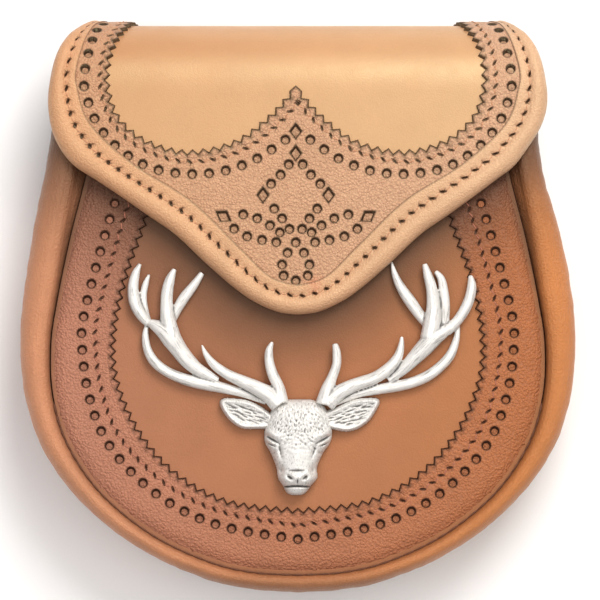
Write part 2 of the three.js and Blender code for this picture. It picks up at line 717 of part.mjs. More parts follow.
function badge() {
  let solid = solidOf(head());
  for (const rows of [...LEFT_ANTLER, ...RIGHT_ANTLER]) {
    solid = solid.add(solidOf(branch(rows)));
  }
  for (const points of EARS) {
    const outline = points.map(([x, y]) => new THREE.Vector2(x, y));
    solid = solid.add(solidOf(prism(outline, BADGE_BACK - 1, BADGE_BACK + EAR_THICK)));
  }
  const below = new THREE.BoxGeometry(200, 200, 10).translate(0, 0, BADGE_BACK - 5);
  return geometryOf(solid.subtract(solidOf(below)));
}

// ---- Hidden pieces ----
function pressStud() {
  const low = FRONT_EDGE + FRONT_DOME + GAP;
  const profile = [[0, 0], [STUD.radius, 0], [STUD.radius, 0.6 * STUD.thick],
    [0.7 * STUD.radius, STUD.thick], [0, STUD.thick]];
  return new THREE.LatheGeometry(profile.map(([x, y]) => new THREE.Vector2(x, y)), 20)
    .rotateX(Math.PI / 2)
    .translate(0, STUD.y, low);
}

// A strap sewn down at both ends and bowed off the back between them.
function beltLoop(x) {
  const sewn = BACK_OUTER - GAP;
  const bowed = LEATHER + GAP;
  const { low, high, width } = LOOP;
  const foot = LOOP.sewn;
  const slope = 5;
  const upper = [[low, sewn], [low + foot, sewn], [low + foot + slope, bowed],
    [high - foot - slope, bowed], [high - foot, sewn], [high, sewn]];
  const lower = upper.map(([y, z]) => [y, z - LEATHER + 0.05]).reverse();
  const outline = [...upper, ...lower].map(([y, z]) => new THREE.Vector2(y, z));
  return prism(outline, -width / 2, width / 2)
    .applyMatrix4(new THREE.Matrix4().makeBasis(
      new THREE.Vector3(0, 1, 0), new THREE.Vector3(0, 0, 1), new THREE.Vector3(1, 0, 0)))
    .translate(x, 0, 0);
}

// ---- Assembly ----
const sporran = new THREE.Group();
sporran.name = 'sporran_pouch';
sporran.position.y = -FRAME_Y;

function addPiece(name, geometry, material) {
  const mesh = new THREE.Mesh(geometry, material);
  mesh.name = name;
  sporran.add(mesh);
}

addPiece('back_panel', backPanel(), SMOOTH_TAN);
addPiece('gusset', gusset(), GRAINED_TAN);
addPiece('front_panel', frontPanel(), SMOOTH_TAN);
addPiece('front_border', frontBorder(), GRAINED_TAN);
addPiece('flap', flap(), FLAP_TAN);
addPiece('flap_border', flapBorder(), GRAINED_TAN);
addPiece('flap_binding', flapBinding(), FLAP_TAN);
addPiece('stag_badge', badge(), PEWTER);
addPiece('press_stud', pressStud(), BRASS);
addPiece('belt_loop_left', beltLoop(-LOOP.x), SMOOTH_TAN);
addPiece('belt_loop_right', beltLoop(LOOP.x), SMOOTH_TAN);

export default sporran;
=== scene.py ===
"""Leather sporran pouch: the finished pieces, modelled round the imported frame."""
import math

import bpy
import numpy as np
from bpy.props import FloatProperty, FloatVectorProperty, PointerProperty
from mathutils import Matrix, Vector, kdtree, noise
from mathutils.geometry import delaunay_2d_cdt


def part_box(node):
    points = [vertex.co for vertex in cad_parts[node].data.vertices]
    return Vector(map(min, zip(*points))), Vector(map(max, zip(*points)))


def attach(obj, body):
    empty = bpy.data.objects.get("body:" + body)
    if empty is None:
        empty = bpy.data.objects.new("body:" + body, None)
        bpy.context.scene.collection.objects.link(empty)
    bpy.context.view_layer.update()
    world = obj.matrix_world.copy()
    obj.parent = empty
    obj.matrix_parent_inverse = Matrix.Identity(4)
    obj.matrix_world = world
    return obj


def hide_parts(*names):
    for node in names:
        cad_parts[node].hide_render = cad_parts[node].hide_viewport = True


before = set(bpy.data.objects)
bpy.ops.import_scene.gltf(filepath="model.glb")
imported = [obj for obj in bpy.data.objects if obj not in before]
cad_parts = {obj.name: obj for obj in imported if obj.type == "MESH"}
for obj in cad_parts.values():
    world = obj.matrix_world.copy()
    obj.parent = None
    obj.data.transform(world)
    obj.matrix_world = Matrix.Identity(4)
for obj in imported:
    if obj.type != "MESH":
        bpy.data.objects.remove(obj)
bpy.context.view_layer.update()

bl_info = {
    "name": "Sporran Pouch",
    "version": (1, 0, 0),
    "blender": (4, 5, 0),
    "location": "3D View > Sidebar > Sporran",
    "description": "Models the leather, stitching and cast badge of a day sporran",
    "category": "Object",
}

MM = 0.001


def lowest(node):
    """Lowest corner of a frame node, in millimetres."""
    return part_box(node)[0] / MM


def highest(node):
    """Highest corner of a frame node, in millimetres."""
    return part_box(node)[1] / MM


# ---- Sizes worked out from the frame, in millimetres ----
LEATHER = highest("back_panel").z - lowest("back_panel").z
TABLE_LOW = -93.6  # the bag's lowest point in the tables below
ROW_Y = lowest("gusset").y - TABLE_LOW  # from the tables to the frame
FRONT_FACE = lowest("front_panel").z + LEATHER
DOME = highest("front_panel").z - FRONT_FACE
BEND_OUTER = 20.8  # radius of the bent flap's outer face
BEND_INNER = BEND_OUTER - LEATHER
BEND_Y = highest("flap").y - BEND_OUTER + 0.05
BEND_Z = lowest("flap").z + BEND_OUTER
BEND_STRETCH = 1.045  # the bend stands out a little past a true circle
PATTERN_R = 22.0  # radius on which the flap's pattern is measured
FALL = 0.014  # lean of the flap's front towards its tip
ARC = math.pi + FALL
OVERLAY = 1.25
BADGE_BACK = lowest("stag_badge").z
CREST = highest("gusset").z
FLANGE_FRONT = lowest("front_panel").z - 0.15  # where the gusset is sewn inside the panels
FLANGE_BACK = highest("back_panel").z + 0.15
FLOOR_LEVEL = 0.02  # the bottom of a punched hole
# painted shade at the bottom of a punched hole
PAINTED_FLOOR_SHADE = 0.22
SCUFF = (5.2, 7.9, 4.5)  # middle and radius of the rubbed place near the flap's tip
HALF_WIDTH = 0.075  # metres, over which painted light shifts the leather's tone from left to right
GUSSET_WALL = 1.3
STRAP = 1.8
THREAD = 0.18  # radius of the sewing thread
SENSOR = 36

# ---- Outlines: half width x at height y, right half from the top to the middle ----
SEAM = [
    (65.0, 72.0), (67.0, 60.0), (70.3, 43.7), (75.6, 23.0), (79.8, 2.5), (81.8, -11.7),
    (81.2, -28.0), (76.4, -44.2), (65.3, -60.6), (48.3, -74.5), (29.5, -83.4),
    (14.8, -86.9), (0.0, -87.8),
]
ROLL_WIDTH = [14.6, 13.6, 12.4, 12.1, 11.4, 10.3, 9.3, 8.3, 7.0, 6.3, 6.0, 6.0, 6.0]
GROOVE = [3.2, 3.0, 2.4, 1.0, 0.3, 0.1, 0.1, 0.1, 0.1, 0.1, 0.1, 0.1, 0.1]
WINDOW = [
    (44.0, 56.0), (50.3, 30.8), (57.0, 11.4), (61.0, -8.0), (60.0, -24.0),
    (52.4, -41.1), (39.9, -54.9), (22.8, -63.9), (0.0, -66.8),
]
FRONT_HOLES = [
    (53.0, 56.0), (60.0, 36.8), (65.0, 20.3), (70.6, -1.2), (71.4, -11.7),
    (69.3, -27.6), (63.7, -42.7), (53.1, -55.6), (39.4, -65.7), (23.1, -72.1),
    (0.0, -75.9),
]
FRONT_TOP = 60.5

# The flap's pattern: half width x at distance s up from the top line of the front.
FLAP_EDGE = [
    (59.0, 95.0), (63.0, 69.0), (69.0, 34.6), (72.4, 26.0), (76.4, 20.1), (79.5, 13.4),
    (81.5, 4.6), (82.3, -4.0), (80.8, -12.0), (77.2, -19.1), (72.4, -25.2),
    (65.3, -30.2), (50.2, -40.9), (40.4, -47.8), (30.6, -57.0), (21.9, -64.6),
    (14.9, -69.6), (6.9, -73.2), (0.0, -74.2),
]
BINDING_LINE = [
    (54.0, 95.0), (58.0, 69.0), (64.0, 34.6), (67.3, 27.0), (72.6, 7.4), (72.3, 0.0),
    (68.0, -11.5), (54.1, -24.4), (35.3, -36.3), (19.5, -51.5), (9.2, -61.4),
    (0.0, -64.3),
]
PEAK_EDGE = [
    (46.0, 95.0), (50.0, 60.0), (56.0, 29.0), (60.0, 17.0), (62.0, 8.0), (62.0, 0.0),
    (58.6, -9.5), (49.5, -17.2), (35.5, -20.9), (20.0, -17.6), (8.2, -9.0), (0.0, 0.2),
]
FLAP_HOLES = [
    (54.5, 60.0), (62.0, 34.6), (66.1, 24.5), (68.6, 14.5), (70.3, 4.8), (70.1, -0.3),
    (66.5, -10.4), (59.4, -19.1), (49.2, -25.4), (37.4, -27.7), (25.4, -27.0),
    (14.2, -23.1), (4.1, -16.5),
]
BACK_END = 95.0

# The binding strip's section from its hidden end under the flap round the rim to its inner
# edge on top: share of the width, height above the flap's inner face.
STRIP = [
    (0.56, -0.75), (0.35, -0.95), (0.16, -1.0), (0.05, -0.45), (0.0, 0.5), (0.0, 1.6),
    (0.05, 2.9), (0.14, 4.0), (0.26, 4.7), (0.38, 4.75), (0.48, 4.4), (0.56, 3.8),
    (0.61, 3.5), (0.66, 3.75), (0.74, 4.05), (0.88, 4.08), (0.97, 4.05), (1.0, 3.95),
]
STRIP_WIDTH = 10
STRIP_WALL = 0.8
STRIP_SLANT = math.radians(20)

# The gusset's section: distance out is (share of roll, fixed mm), then height.
GUSSET_SECTION = [
    (0.0, -6.0, FLANGE_FRONT), (0.0, -0.2, FLANGE_FRONT), (0.0, 0.15, CREST - 3.4),
    (0.05, 0.1, CREST - 2.0), (0.15, 0.0, CREST - 0.7), (0.3, 0.0, CREST + 0.15),
    (0.48, 0.0, CREST + 0.3), (0.68, 0.0, CREST - 0.6), (0.86, 0.0, CREST - 2.5),
    (0.97, 0.0, CREST - 5.2), (1.0, 0.0, CREST - 9.0), (0.95, 0.0, 25.0), (0.92, 0.0, 20.0),
    (0.95, 0.0, 13.0), (1.0, 0.0, 6.6), (0.93, 0.0, 2.4), (0.8, 0.0, 0.35), (0.66, 0.0, 0.02),
    (0.36, 0.0, 0.02), (0.16, 0.0, 0.9), (0.04, 0.0, 3.0), (0.0, -0.2, FLANGE_BACK),
    (0.0, -6.0, FLANGE_BACK),
]

# ---- Punched motif on the flap: x from the motif's middle, mirrored where it isn't 0 ----
MOTIF_X = -0.7
MOTIF_HOLES = [
    (2.3, -24.6), (5.0, -28.0), (8.1, -31.0), (7.1, -39.2), (4.5, -42.4), (2.1, -45.9),
    (17.3, -41.1), (12.7, -42.4), (8.5, -44.7), (5.2, -47.0), (20.3, -45.8),
    (16.0, -48.3), (11.1, -49.5), (6.4, -50.2), (0.0, -50.3), (2.7, -53.7),
    (4.5, -57.6), (4.0, -61.2), (0.0, -62.9),
]
MOTIF_DIAMONDS = [  # x, s, turn, half length
    (0.0, -13.7, 0.0, 2.6), (0.0, -20.9, 0.0, 2.6), (10.8, -34.7, 0.0, 2.7),
    (23.8, -41.7, -1.0, 2.9),
]

# ---- Cast badge: each branch is centres with a radius, tip first, then how far it lies
# ---- above the badge's back ----
LEFT_ANTLER = [
    (0.5, [(-52.1, 15.0, 0.45), (-53.6, 11.6, 1.25), (-54.4, 6.9, 1.6), (-53.7, 2.0, 1.75),
           (-51.6, -2.0, 1.6), (-49.4, -4.6, 1.2)]),
    (0.0, [(-49.1, 11.6, 0.35), (-50.4, 8.0, 0.95), (-51.0, 4.0, 1.0), (-50.3, -0.4, 0.9),
           (-49.4, -4.0, 0.9)]),
    (1.0, [(-40.7, 13.3, 0.6), (-42.2, 9.8, 1.45), (-43.1, 5.6, 1.75), (-43.3, 0.8, 1.85),
           (-42.8, -4.0, 2.3), (-41.6, -9.0, 2.7)]),
    (0.0, [(-31.6, 12.0, 0.75), (-34.2, 8.2, 1.25), (-37.6, 3.8, 1.6), (-40.2, -0.6, 1.4),
           (-42.0, -4.6, 1.2)]),
    (1.0, [(-49.4, -4.2, 0.9), (-47.2, -5.2, 1.7), (-44.4, -7.0, 2.4), (-41.8, -9.6, 2.9),
           (-39.4, -13.0, 2.55), (-36.6, -16.6, 2.35), (-33.6, -19.4, 2.0),
           (-30.0, -21.6, 1.6), (-26.4, -23.6, 1.1)]),
    (0.2, [(-49.8, -4.4, 0.4), (-50.4, -8.9, 1.0), (-49.5, -13.7, 1.3), (-47.0, -17.7, 1.5),
           (-42.6, -20.9, 1.5), (-36.9, -23.2, 1.7), (-30.8, -24.6, 1.85),
           (-24.8, -25.9, 1.6), (-18.4, -27.5, 1.3), (-10.4, -30.2, 1.2)]),
    (1.8, [(-31.7, -11.7, 0.25), (-30.2, -15.0, 0.85), (-27.6, -18.3, 1.3),
           (-23.4, -21.3, 1.5), (-18.4, -23.7, 1.8), (-13.3, -26.0, 2.15),
           (-8.9, -28.6, 2.55), (-6.2, -31.6, 2.7)]),
    (2.2, [(-8.4, -10.7, 0.4), (-9.5, -13.7, 1.15), (-9.4, -17.4, 1.4), (-8.3, -21.4, 1.6),
           (-6.3, -25.8, 1.75), (-5.6, -31.0, 2.4)]),
]
RIGHT_ANTLER = [
    (0.5, [(56.9, 11.2, 0.6), (57.4, 7.9, 1.35), (56.7, 3.8, 1.55), (55.0, -0.2, 1.6),
           (52.4, -4.0, 1.5), (49.0, -7.2, 1.6)]),
    (0.0, [(45.4, 12.6, 0.6), (47.3, 10.1, 1.15), (48.1, 6.2, 1.4), (48.6, 1.8, 1.45),
           (48.5, -2.4, 1.4), (48.0, -6.6, 1.3)]),
    (1.0, [(41.8, 15.0, 0.7), (42.9, 11.2, 1.35), (44.1, 6.9, 1.65), (44.7, 1.2, 2.0),
           (44.3, -4.0, 2.5), (43.4, -9.5, 2.8)]),
    (0.0, [(30.9, 15.8, 0.3), (32.1, 11.3, 0.95), (34.2, 6.9, 1.45), (37.2, 2.5, 1.75),
           (40.2, -1.8, 1.6), (42.6, -4.8, 1.4)]),
    (1.0, [(50.6, -5.6, 1.1), (47.6, -7.6, 2.0), (44.6, -9.4, 2.7), (41.9, -12.3, 2.6),
           (38.5, -15.9, 2.2), (34.5, -20.0, 1.6), (30.0, -23.6, 0.9)]),
    (0.2, [(53.0, -5.6, 0.5), (52.3, -9.9, 1.0), (50.6, -14.6, 1.4), (47.6, -18.3, 1.5),
           (43.3, -21.7, 1.6), (38.2, -24.0, 1.6), (32.5, -25.4, 1.6),
           (25.7, -26.5, 1.5), (19.7, -27.9, 1.2), (11.4, -31.0, 1.1)]),
    (1.8, [(34.3, -9.0, 0.45), (34.0, -12.3, 0.95), (32.8, -16.0, 1.45), (29.8, -19.6, 1.75),
           (25.1, -22.7, 1.8), (19.0, -24.8, 1.95), (14.0, -27.2, 2.2), (9.4, -31.2, 2.6)]),
    (2.2, [(12.2, -11.3, 0.8), (12.8, -14.4, 1.25), (12.7, -18.4, 1.35), (11.3, -22.4, 1.5),
           (9.5, -26.8, 1.95), (8.4, -31.4, 2.4)]),
]
HEAD = [  # y, middle x, half width, rise
    (-29.6, 0.6, 3.0, 1.6), (-30.6, 0.6, 6.4, 3.8), (-33.0, 0.4, 9.0, 5.6), (-37.0, 0.2, 10.5, 6.6),
    (-41.0, 0.1, 11.2, 6.9), (-44.2, -0.1, 10.7, 6.8), (-47.4, -0.3, 8.7, 6.7),
    (-52.0, -0.4, 6.8, 6.6), (-55.6, -0.1, 6.5, 7.0), (-58.2, -0.3, 4.7, 6.0),
    (-60.4, -0.5, 3.3, 4.6), (-61.4, -0.5, 1.5, 2.8),
]
FEATURES = [  # how far it stands out, x and y, half width and height, turn
    (1.0, 8.4, -41.0, 3.0, 1.1, 0.4),  # brows
    (-1.7, 8.5, -42.8, 2.1, 0.42, 0.5),  # upper lids
    (0.8, 9.0, -43.6, 1.1, 0.7, 0.45),  # eyeballs
    (-0.9, 8.7, -44.6, 1.3, 0.26, 0.4),  # lower lids
    (-0.8, 5.6, -46.4, 0.6, 2.6, -0.25),  # tear lines
    (-0.8, 8.2, -47.8, 1.6, 0.5, -0.6),  # under the cheeks
    (0.8, 0, -48.5, 2.6, 6.0),  # bridge of the nose
    (0.9, 0, -55.4, 4.8, 1.7),  # muzzle
    (-1.0, 5.2, -53.0, 1.0, 1.4),  # behind the nostrils
    (-0.8, 0, -53.0, 2.2, 0.35),  # upper edge of the nose
    (-2.2, 2.5, -55.3, 1.0, 0.55, 0.6),  # nostrils
    (-0.8, 0, -56.6, 0.3, 1.0),  # cleft of the lip
    (0.6, 0, -36.0, 5.0, 3.6),  # tuft of the forehead
]
EARS = [
    [(-8.5, -34.6), (-12.2, -32.0), (-16.5, -30.0), (-20.5, -29.4), (-24.3, -29.3),
     (-25.9, -30.8), (-24.6, -34.0), (-22.2, -37.0), (-18.8, -39.2), (-14.6, -39.6),
     (-8.5, -38.8)],
    [(8.5, -38.6), (12.6, -39.9), (16.4, -40.4), (20.0, -39.4), (23.4, -37.0),
     (25.9, -33.4), (27.1, -30.6), (25.8, -29.3), (22.0, -29.2), (18.0, -29.8),
     (12.8, -32.2), (8.5, -34.2)],
]


# ---- Settings ----
class LeatherSettings(bpy.types.PropertyGroup):
    """Colours of the leathers and of the burnt edges, whose dark colour also gives the painted
    shade in holes and pits
    """

    smooth: FloatVectorProperty(
        name="Flap leather", description="Smooth leather of the flap",
        subtype="COLOR", size=3, min=0, max=1, default=(0.50, 0.228, 0.105))
    grained_flap: FloatVectorProperty(
        name="Flap border", description="Grained leather laid over the flap",
        subtype="COLOR", size=3, min=0, max=1, default=(0.51, 0.252, 0.144))
    grained_front: FloatVectorProperty(
        name="Front border", description="Grained leather laid over the front",
        subtype="COLOR", size=3, min=0, max=1, default=(0.435, 0.185, 0.118))
    plain: FloatVectorProperty(
        name="Front leather", description="Smooth leather inside the window",
        subtype="COLOR", size=3, min=0, max=1, default=(0.372, 0.15, 0.08))
    gusset: FloatVectorProperty(
        name="Gusset leather", description="Soft leather of the side wall",
        subtype="COLOR", size=3, min=0, max=1, default=(0.56, 0.235, 0.12))
    binding: FloatVectorProperty(
        name="Binding leather", description="Rolled strip round the flap",
        subtype="COLOR", size=3, min=0, max=1, default=(0.58, 0.292, 0.152))
    # Burnt edge colour, also used for painted shade in holes, pits and beside cut edges.
    burnt_and_shaded: FloatVectorProperty(
        name="Burnt edge", description="Cut and punched edges",
        subtype="COLOR", size=3, min=0, max=1, default=(0.035, 0.011, 0.006))
    thread: FloatVectorProperty(
        name="Thread", description="Waxed sewing thread",
        subtype="COLOR", size=3, min=0, max=1, default=(0.56, 0.27, 0.14))
    front_thread: FloatVectorProperty(
        name="Front thread", description="Darker thread of the front border",
        subtype="COLOR", size=3, min=0, max=1, default=(0.42, 0.15, 0.09))


class PunchSettings(bpy.types.PropertyGroup):
    """Sizes of the punched work, in millimetres"""

    hole_radius: FloatProperty(
        name="Hole radius", description="Round punch", default=1.5, min=0.5, max=3)
    hole_pitch: FloatProperty(
        name="Hole pitch", description="Between the holes of a row", default=5.55, min=3, max=10)
    tooth_pitch: FloatProperty(
        name="Tooth pitch", description="Width of a pinked tooth", default=3.6, min=2, max=6)
    tooth_depth: FloatProperty(
        name="Tooth depth", description="Height of a pinked tooth", default=1.7, min=0.5, max=3)
    stitch_pitch: FloatProperty(
        name="Stitch pitch", description="Between stitch holes", default=3.8, min=2, max=8)
    spacing: FloatProperty(
        name="Mesh spacing", description="Between points of a leather sheet", default=1.7,
        min=0.5, max=5)


class StageSettings(bpy.types.PropertyGroup):
    """Camera and lights"""

    lens: FloatProperty(
        name="Lens", description="Focal length in millimetres", default=300, min=50, max=500)
    view_width: FloatProperty(
        name="View width", description="Width seen at the pouch, in metres",
        default=0.198, min=0.1, max=1, subtype="DISTANCE", unit="LENGTH")
    key: FloatProperty(
        name="Key light", description="Power of the soft light above the top of the pouch",
        default=12.5, min=0, max=100, subtype="POWER", unit="POWER")
    side: FloatProperty(
        name="Side lights", description="Power of each soft side light",
        default=3.4, min=0, max=100, subtype="POWER", unit="POWER")
    ceiling: FloatProperty(
        name="Ceiling", description="Power of the wide panel straight above",
        default=8, min=0, max=100, subtype="POWER", unit="POWER")
    ambient: FloatProperty(
        name="Ambient", description="Strength of the even light", default=0.29, min=0, max=3)


# ---- Curves through the tables ----
class Path:
    """A smooth line through a short table of points, measured along its length."""

    STEPS = 24

    def __init__(self, rows):
        points = np.array(rows, float)
        ends = np.vstack([points[:1], points, points[-1:]])
        shares = np.linspace(0, 1, self.STEPS, endpoint=False)[:, None]
        runs = []
        for i in range(len(points) - 1):
            a, b, c, d = ends[i:i + 4]
            runs.append(0.5 * (
                2 * b + (c - a) * shares + (2 * a - 5 * b + 4 * c - d) * shares ** 2
                + (3 * b - a - 3 * c + d) * shares ** 3))
        self.points = np.vstack(runs + [points[-1:]])
        self._measure()

    def _measure(self):
        steps = np.linalg.norm(np.diff(self.points, axis=0), axis=1)
        self.distances = np.concatenate([[0], np.cumsum(steps)])
        self.length = self.distances[-1]

    @classmethod
    def of(cls, points):
        path = cls.__new__(cls)
        path.points = np.array(points, float)
        path._measure()
        return path

    def mirrored(self):
        """The whole line: the right half, then the left half back up."""
        left = self.points[::-1] * [-1, 1]
        return Path.of(np.vstack([self.points, left[1:]]))

    def at(self, distance):
        return np.stack([np.interp(distance, self.distances, self.points[:, k])
                         for k in range(self.points.shape[1])], axis=-1)

    def along(self, distance):
        step = 0.4
        ahead = self.at(np.minimum(distance + step, self.length))
        back = self.at(np.maximum(distance - step, 0))
        run = ahead - back
        return run / np.linalg.norm(run, axis=-1, keepdims=True)

    def even(self, pitch, start=0.0, end=0.0):
        """Distances at an even pitch, close to the one asked for."""
        span = self.length - start - end
        count = max(1, round(span / pitch))
        return start + np.linspace(0, span, count + 1)

    def moved(self, offset):
        """A line beside this one; a positive offset is to its left."""
        distance = self.even(1.0)
        along = self.along(distance)
        side = np.stack([-along[:, 1], along[:, 0]], axis=-1)
        return Path.of(self.at(distance) + side * offset)


def pinked(path, pitch, depth):
    """Teeth along a line."""
    distance = path.even(pitch / 2)
    along = path.along(distance)
    side = np.stack([-along[:, 1], along[:, 0]], axis=-1)
    sign = np.where(np.arange(len(distance)) % 2 == 0, -0.5, 0.5)[:, None]
    return path.at(distance) + side * sign * depth


# ---- Where flat leather lies on the pouch: patterns in, frame positions out, in mm ----
def dome(x, y):
    across = np.clip(1 - (x / 82) ** 2, 0, 1)
    along = np.clip(1 - ((y + 13) / 76) ** 2, 0, 1)
    return DOME * across * along


def on_front(points, height):
    x, y = points[:, 0], points[:, 1]
    return np.stack([x, y + ROW_Y, FRONT_FACE + dome(x, y) + height], axis=-1)


def on_flap(points, height):
    """The flap's pattern bent over the top; height is above the flap's inner face."""
    x, s = points[:, 0], points[:, 1]
    turn = np.clip(s / PATTERN_R, 0, ARC) - FALL
    straight = np.where(s < 0, s, np.maximum(s - ARC * PATTERN_R, 0))
    reach = BEND_INNER + height
    y = BEND_Y + np.sin(turn) * reach * BEND_STRETCH + np.cos(turn) * straight
    z = BEND_Z + np.cos(turn) * reach - np.sin(turn) * straight
    return np.stack([x, y, z], axis=-1)


# ---- Modelling helpers ----
def deselect_all():
    if bpy.context.mode != "OBJECT":
        bpy.ops.object.mode_set(mode="OBJECT")
    bpy.ops.object.select_all(action="DESELECT")


def activate(piece):
    deselect_all()
    piece.select_set(True)
    bpy.context.view_layer.objects.active = piece


def apply_modifier(piece, kind, **settings):
    activate(piece)
    modifier = piece.modifiers.new(kind.title(), kind)
    for key, value in settings.items():
        setattr(modifier, key, value)
    bpy.ops.object.modifier_apply(modifier=modifier.name)


def finish_piece(piece, name, material, slot, *nodes):
    """Names a piece, gives it its finish and ties it to the frame."""
    piece.name = name
    piece.data.name = name
    piece.data.materials.clear()
    piece.data.materials.append(material)
    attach(piece, "root")
    if nodes:
        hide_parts(*nodes)


def near_tree(points):
    """A search tree over flat points."""
    tree = kdtree.KDTree(len(points))
    for i, (x, y) in enumerate(points):
        tree.insert((x, y, 0), i)
    tree.balance()
    return tree


def distances_to(line, points):
    """How far each point lies from the nearest point of a line."""
    tree = near_tree(line)
    return np.array([tree.find((x, y, 0))[2] for x, y in points])


def read(mesh, key="co"):
    """Positions or normals of a mesh, as rows."""
    flat = np.empty(3 * len(mesh.vertices))
    mesh.vertices.foreach_get(key, flat)
    return flat.reshape(-1, 3)


def mark(mesh, name, values, kind="FLOAT", key="value"):
    """Writes a value on every point of a mesh."""
    mesh.attributes.new(name, kind, "POINT").data.foreach_set(
        key, np.asarray(values, np.float32).ravel())


def mesh_piece(name, positions, faces, burn_and_shade=None):
    """A mesh from points in millimetres."""
    mesh = bpy.data.meshes.new(name)
    mesh.from_pydata((np.asarray(positions) * MM).tolist(), [], faces)
    mesh.update()
    if burn_and_shade is not None:
        mark(mesh, "burn_and_shade", burn_and_shade)
    piece = bpy.data.objects.new(name, mesh)
    bpy.context.collection.objects.link(piece)
    return piece


def smooth_shade(piece, degrees=40):
    activate(piece)
    bpy.ops.object.shade_smooth_by_angle(angle=math.radians(degrees))


def recalculate_normals(piece):
    activate(piece)
    bpy.ops.object.mode_set(mode="EDIT")
    bpy.ops.mesh.select_all(action="SELECT")
    bpy.ops.mesh.normals_make_consistent(inside=False)
    bpy.ops.object.mode_set(mode="OBJECT")


def thicken(piece, thickness, facing, offset=-1, bevel=0.0, degrees=40):
    """Gives a sheet its thickness, once its faces look the way they are told to."""
    recalculate_normals(piece)
    facing = Vector(facing)
    outermost = max(piece.data.polygons, key=lambda face: face.center @ facing)
    if outermost.normal @ facing < 0:
        piece.data.flip_normals()
    apply_modifier(piece, "SOLIDIFY", thickness=thickness * MM, offset=offset)
    if bevel:
        apply_modifier(piece, "BEVEL", width=bevel * MM, segments=2, limit_method="ANGLE")
    smooth_shade(piece, degrees)


def shaped_grid(name, columns, rows, place):
    """A grid whose points are moved one by one; place takes shares across and along."""
    deselect_all()
    bpy.ops.mesh.primitive_grid_add(x_subdivisions=columns, y_subdivisions=rows, size=1)
    piece = bpy.context.object
    piece.name = name
    shares = np.clip(read(piece.data)[:, :2] + 0.5, 0, 1)
    piece.data.vertices.foreach_set("co", (place(shares[:, 0], shares[:, 1]) * MM).ravel())
    piece.data.update()
    return piece


def inside(points, outline):
    """Which points lie inside a closed outline."""
    x, y = points[:, 0][:, None], points[:, 1][:, None]
    x0, y0 = outline[:, 0][None], outline[:, 1][None]
    x1, y1 = np.roll(outline[:, 0], -1)[None], np.roll(outline[:, 1], -1)[None]
    crosses = (y0 > y) != (y1 > y)
    with np.errstate(divide="ignore", invalid="ignore"):
        hit = x < (x1 - x0) * (y - y0) / (y1 - y0) + x0
    return (crosses & hit).sum(axis=1) % 2 == 1


def inset_loop(loop, distance):
    """A closed loop moved to its left by a distance, corners kept."""
    before = loop - np.roll(loop, 1, axis=0)
    after = np.roll(loop, -1, axis=0) - loop
    before /= np.linalg.norm(before, axis=1, keepdims=True)
    after /= np.linalg.norm(after, axis=1, keepdims=True)
    side = np.stack([-(before + after)[:, 1], (before + after)[:, 0]], axis=-1)
    side /= np.linalg.norm(side, axis=1, keepdims=True)
    lean = np.clip((side * np.stack([-before[:, 1], before[:, 0]], -1)).sum(1), 0.5, 1)
    return loop + side * (distance / lean)[:, None]


HOLE_SIDES = 16
HOLE_CLEARANCE = 3.4


def round_hole(x, y, radius):
    angle = np.linspace(0, 2 * math.pi, HOLE_SIDES, endpoint=False)
    return np.stack([x + radius * np.cos(angle), y + radius * np.sin(angle)], axis=-1)


def diamond_hole(x, y, turn, long):
    corners = np.array([(0, -long), (2.0, 0), (0, long), (-2.0, 0)])
    loop = np.vstack([corners, corners[:1]])
    sides = [np.linspace(loop[i], loop[i + 1], 4, endpoint=False) for i in range(4)]
    spin = np.array([[math.cos(turn), math.sin(turn)], [-math.sin(turn), math.cos(turn)]])
    return np.vstack(sides) @ spin + [x, y]


# A stitch hole is a slanted pit: half length and half width of its mouth.
PIT_LONG = 1.0
PIT_WIDE = 0.38
PIT_SLANT = math.radians(-36)


def pit_rings(x, y, direction):
    """Points of a stitch pit: (points, drop, darkening) from its bottom to its mouth; the darkening
    is painted shade in the pit.
    """
    turn = direction + PIT_SLANT
    spin = np.array([[math.cos(turn), math.sin(turn)], [-math.sin(turn), math.cos(turn)]])
    angle = np.linspace(0, 2 * math.pi, 8, endpoint=False)
    ring = np.stack([PIT_LONG * np.cos(angle), PIT_WIDE * np.sin(angle)], axis=-1) @ spin
    middle = np.array([[x, y]])
    return [
        (middle, 0.75, 1.0),
        (middle + ring * 0.8, 0.45, 0.95),
        (middle + ring * 1.15, 0.12, 0.8),
        (middle + ring * 1.6, 0.0, 0.0),
    ]


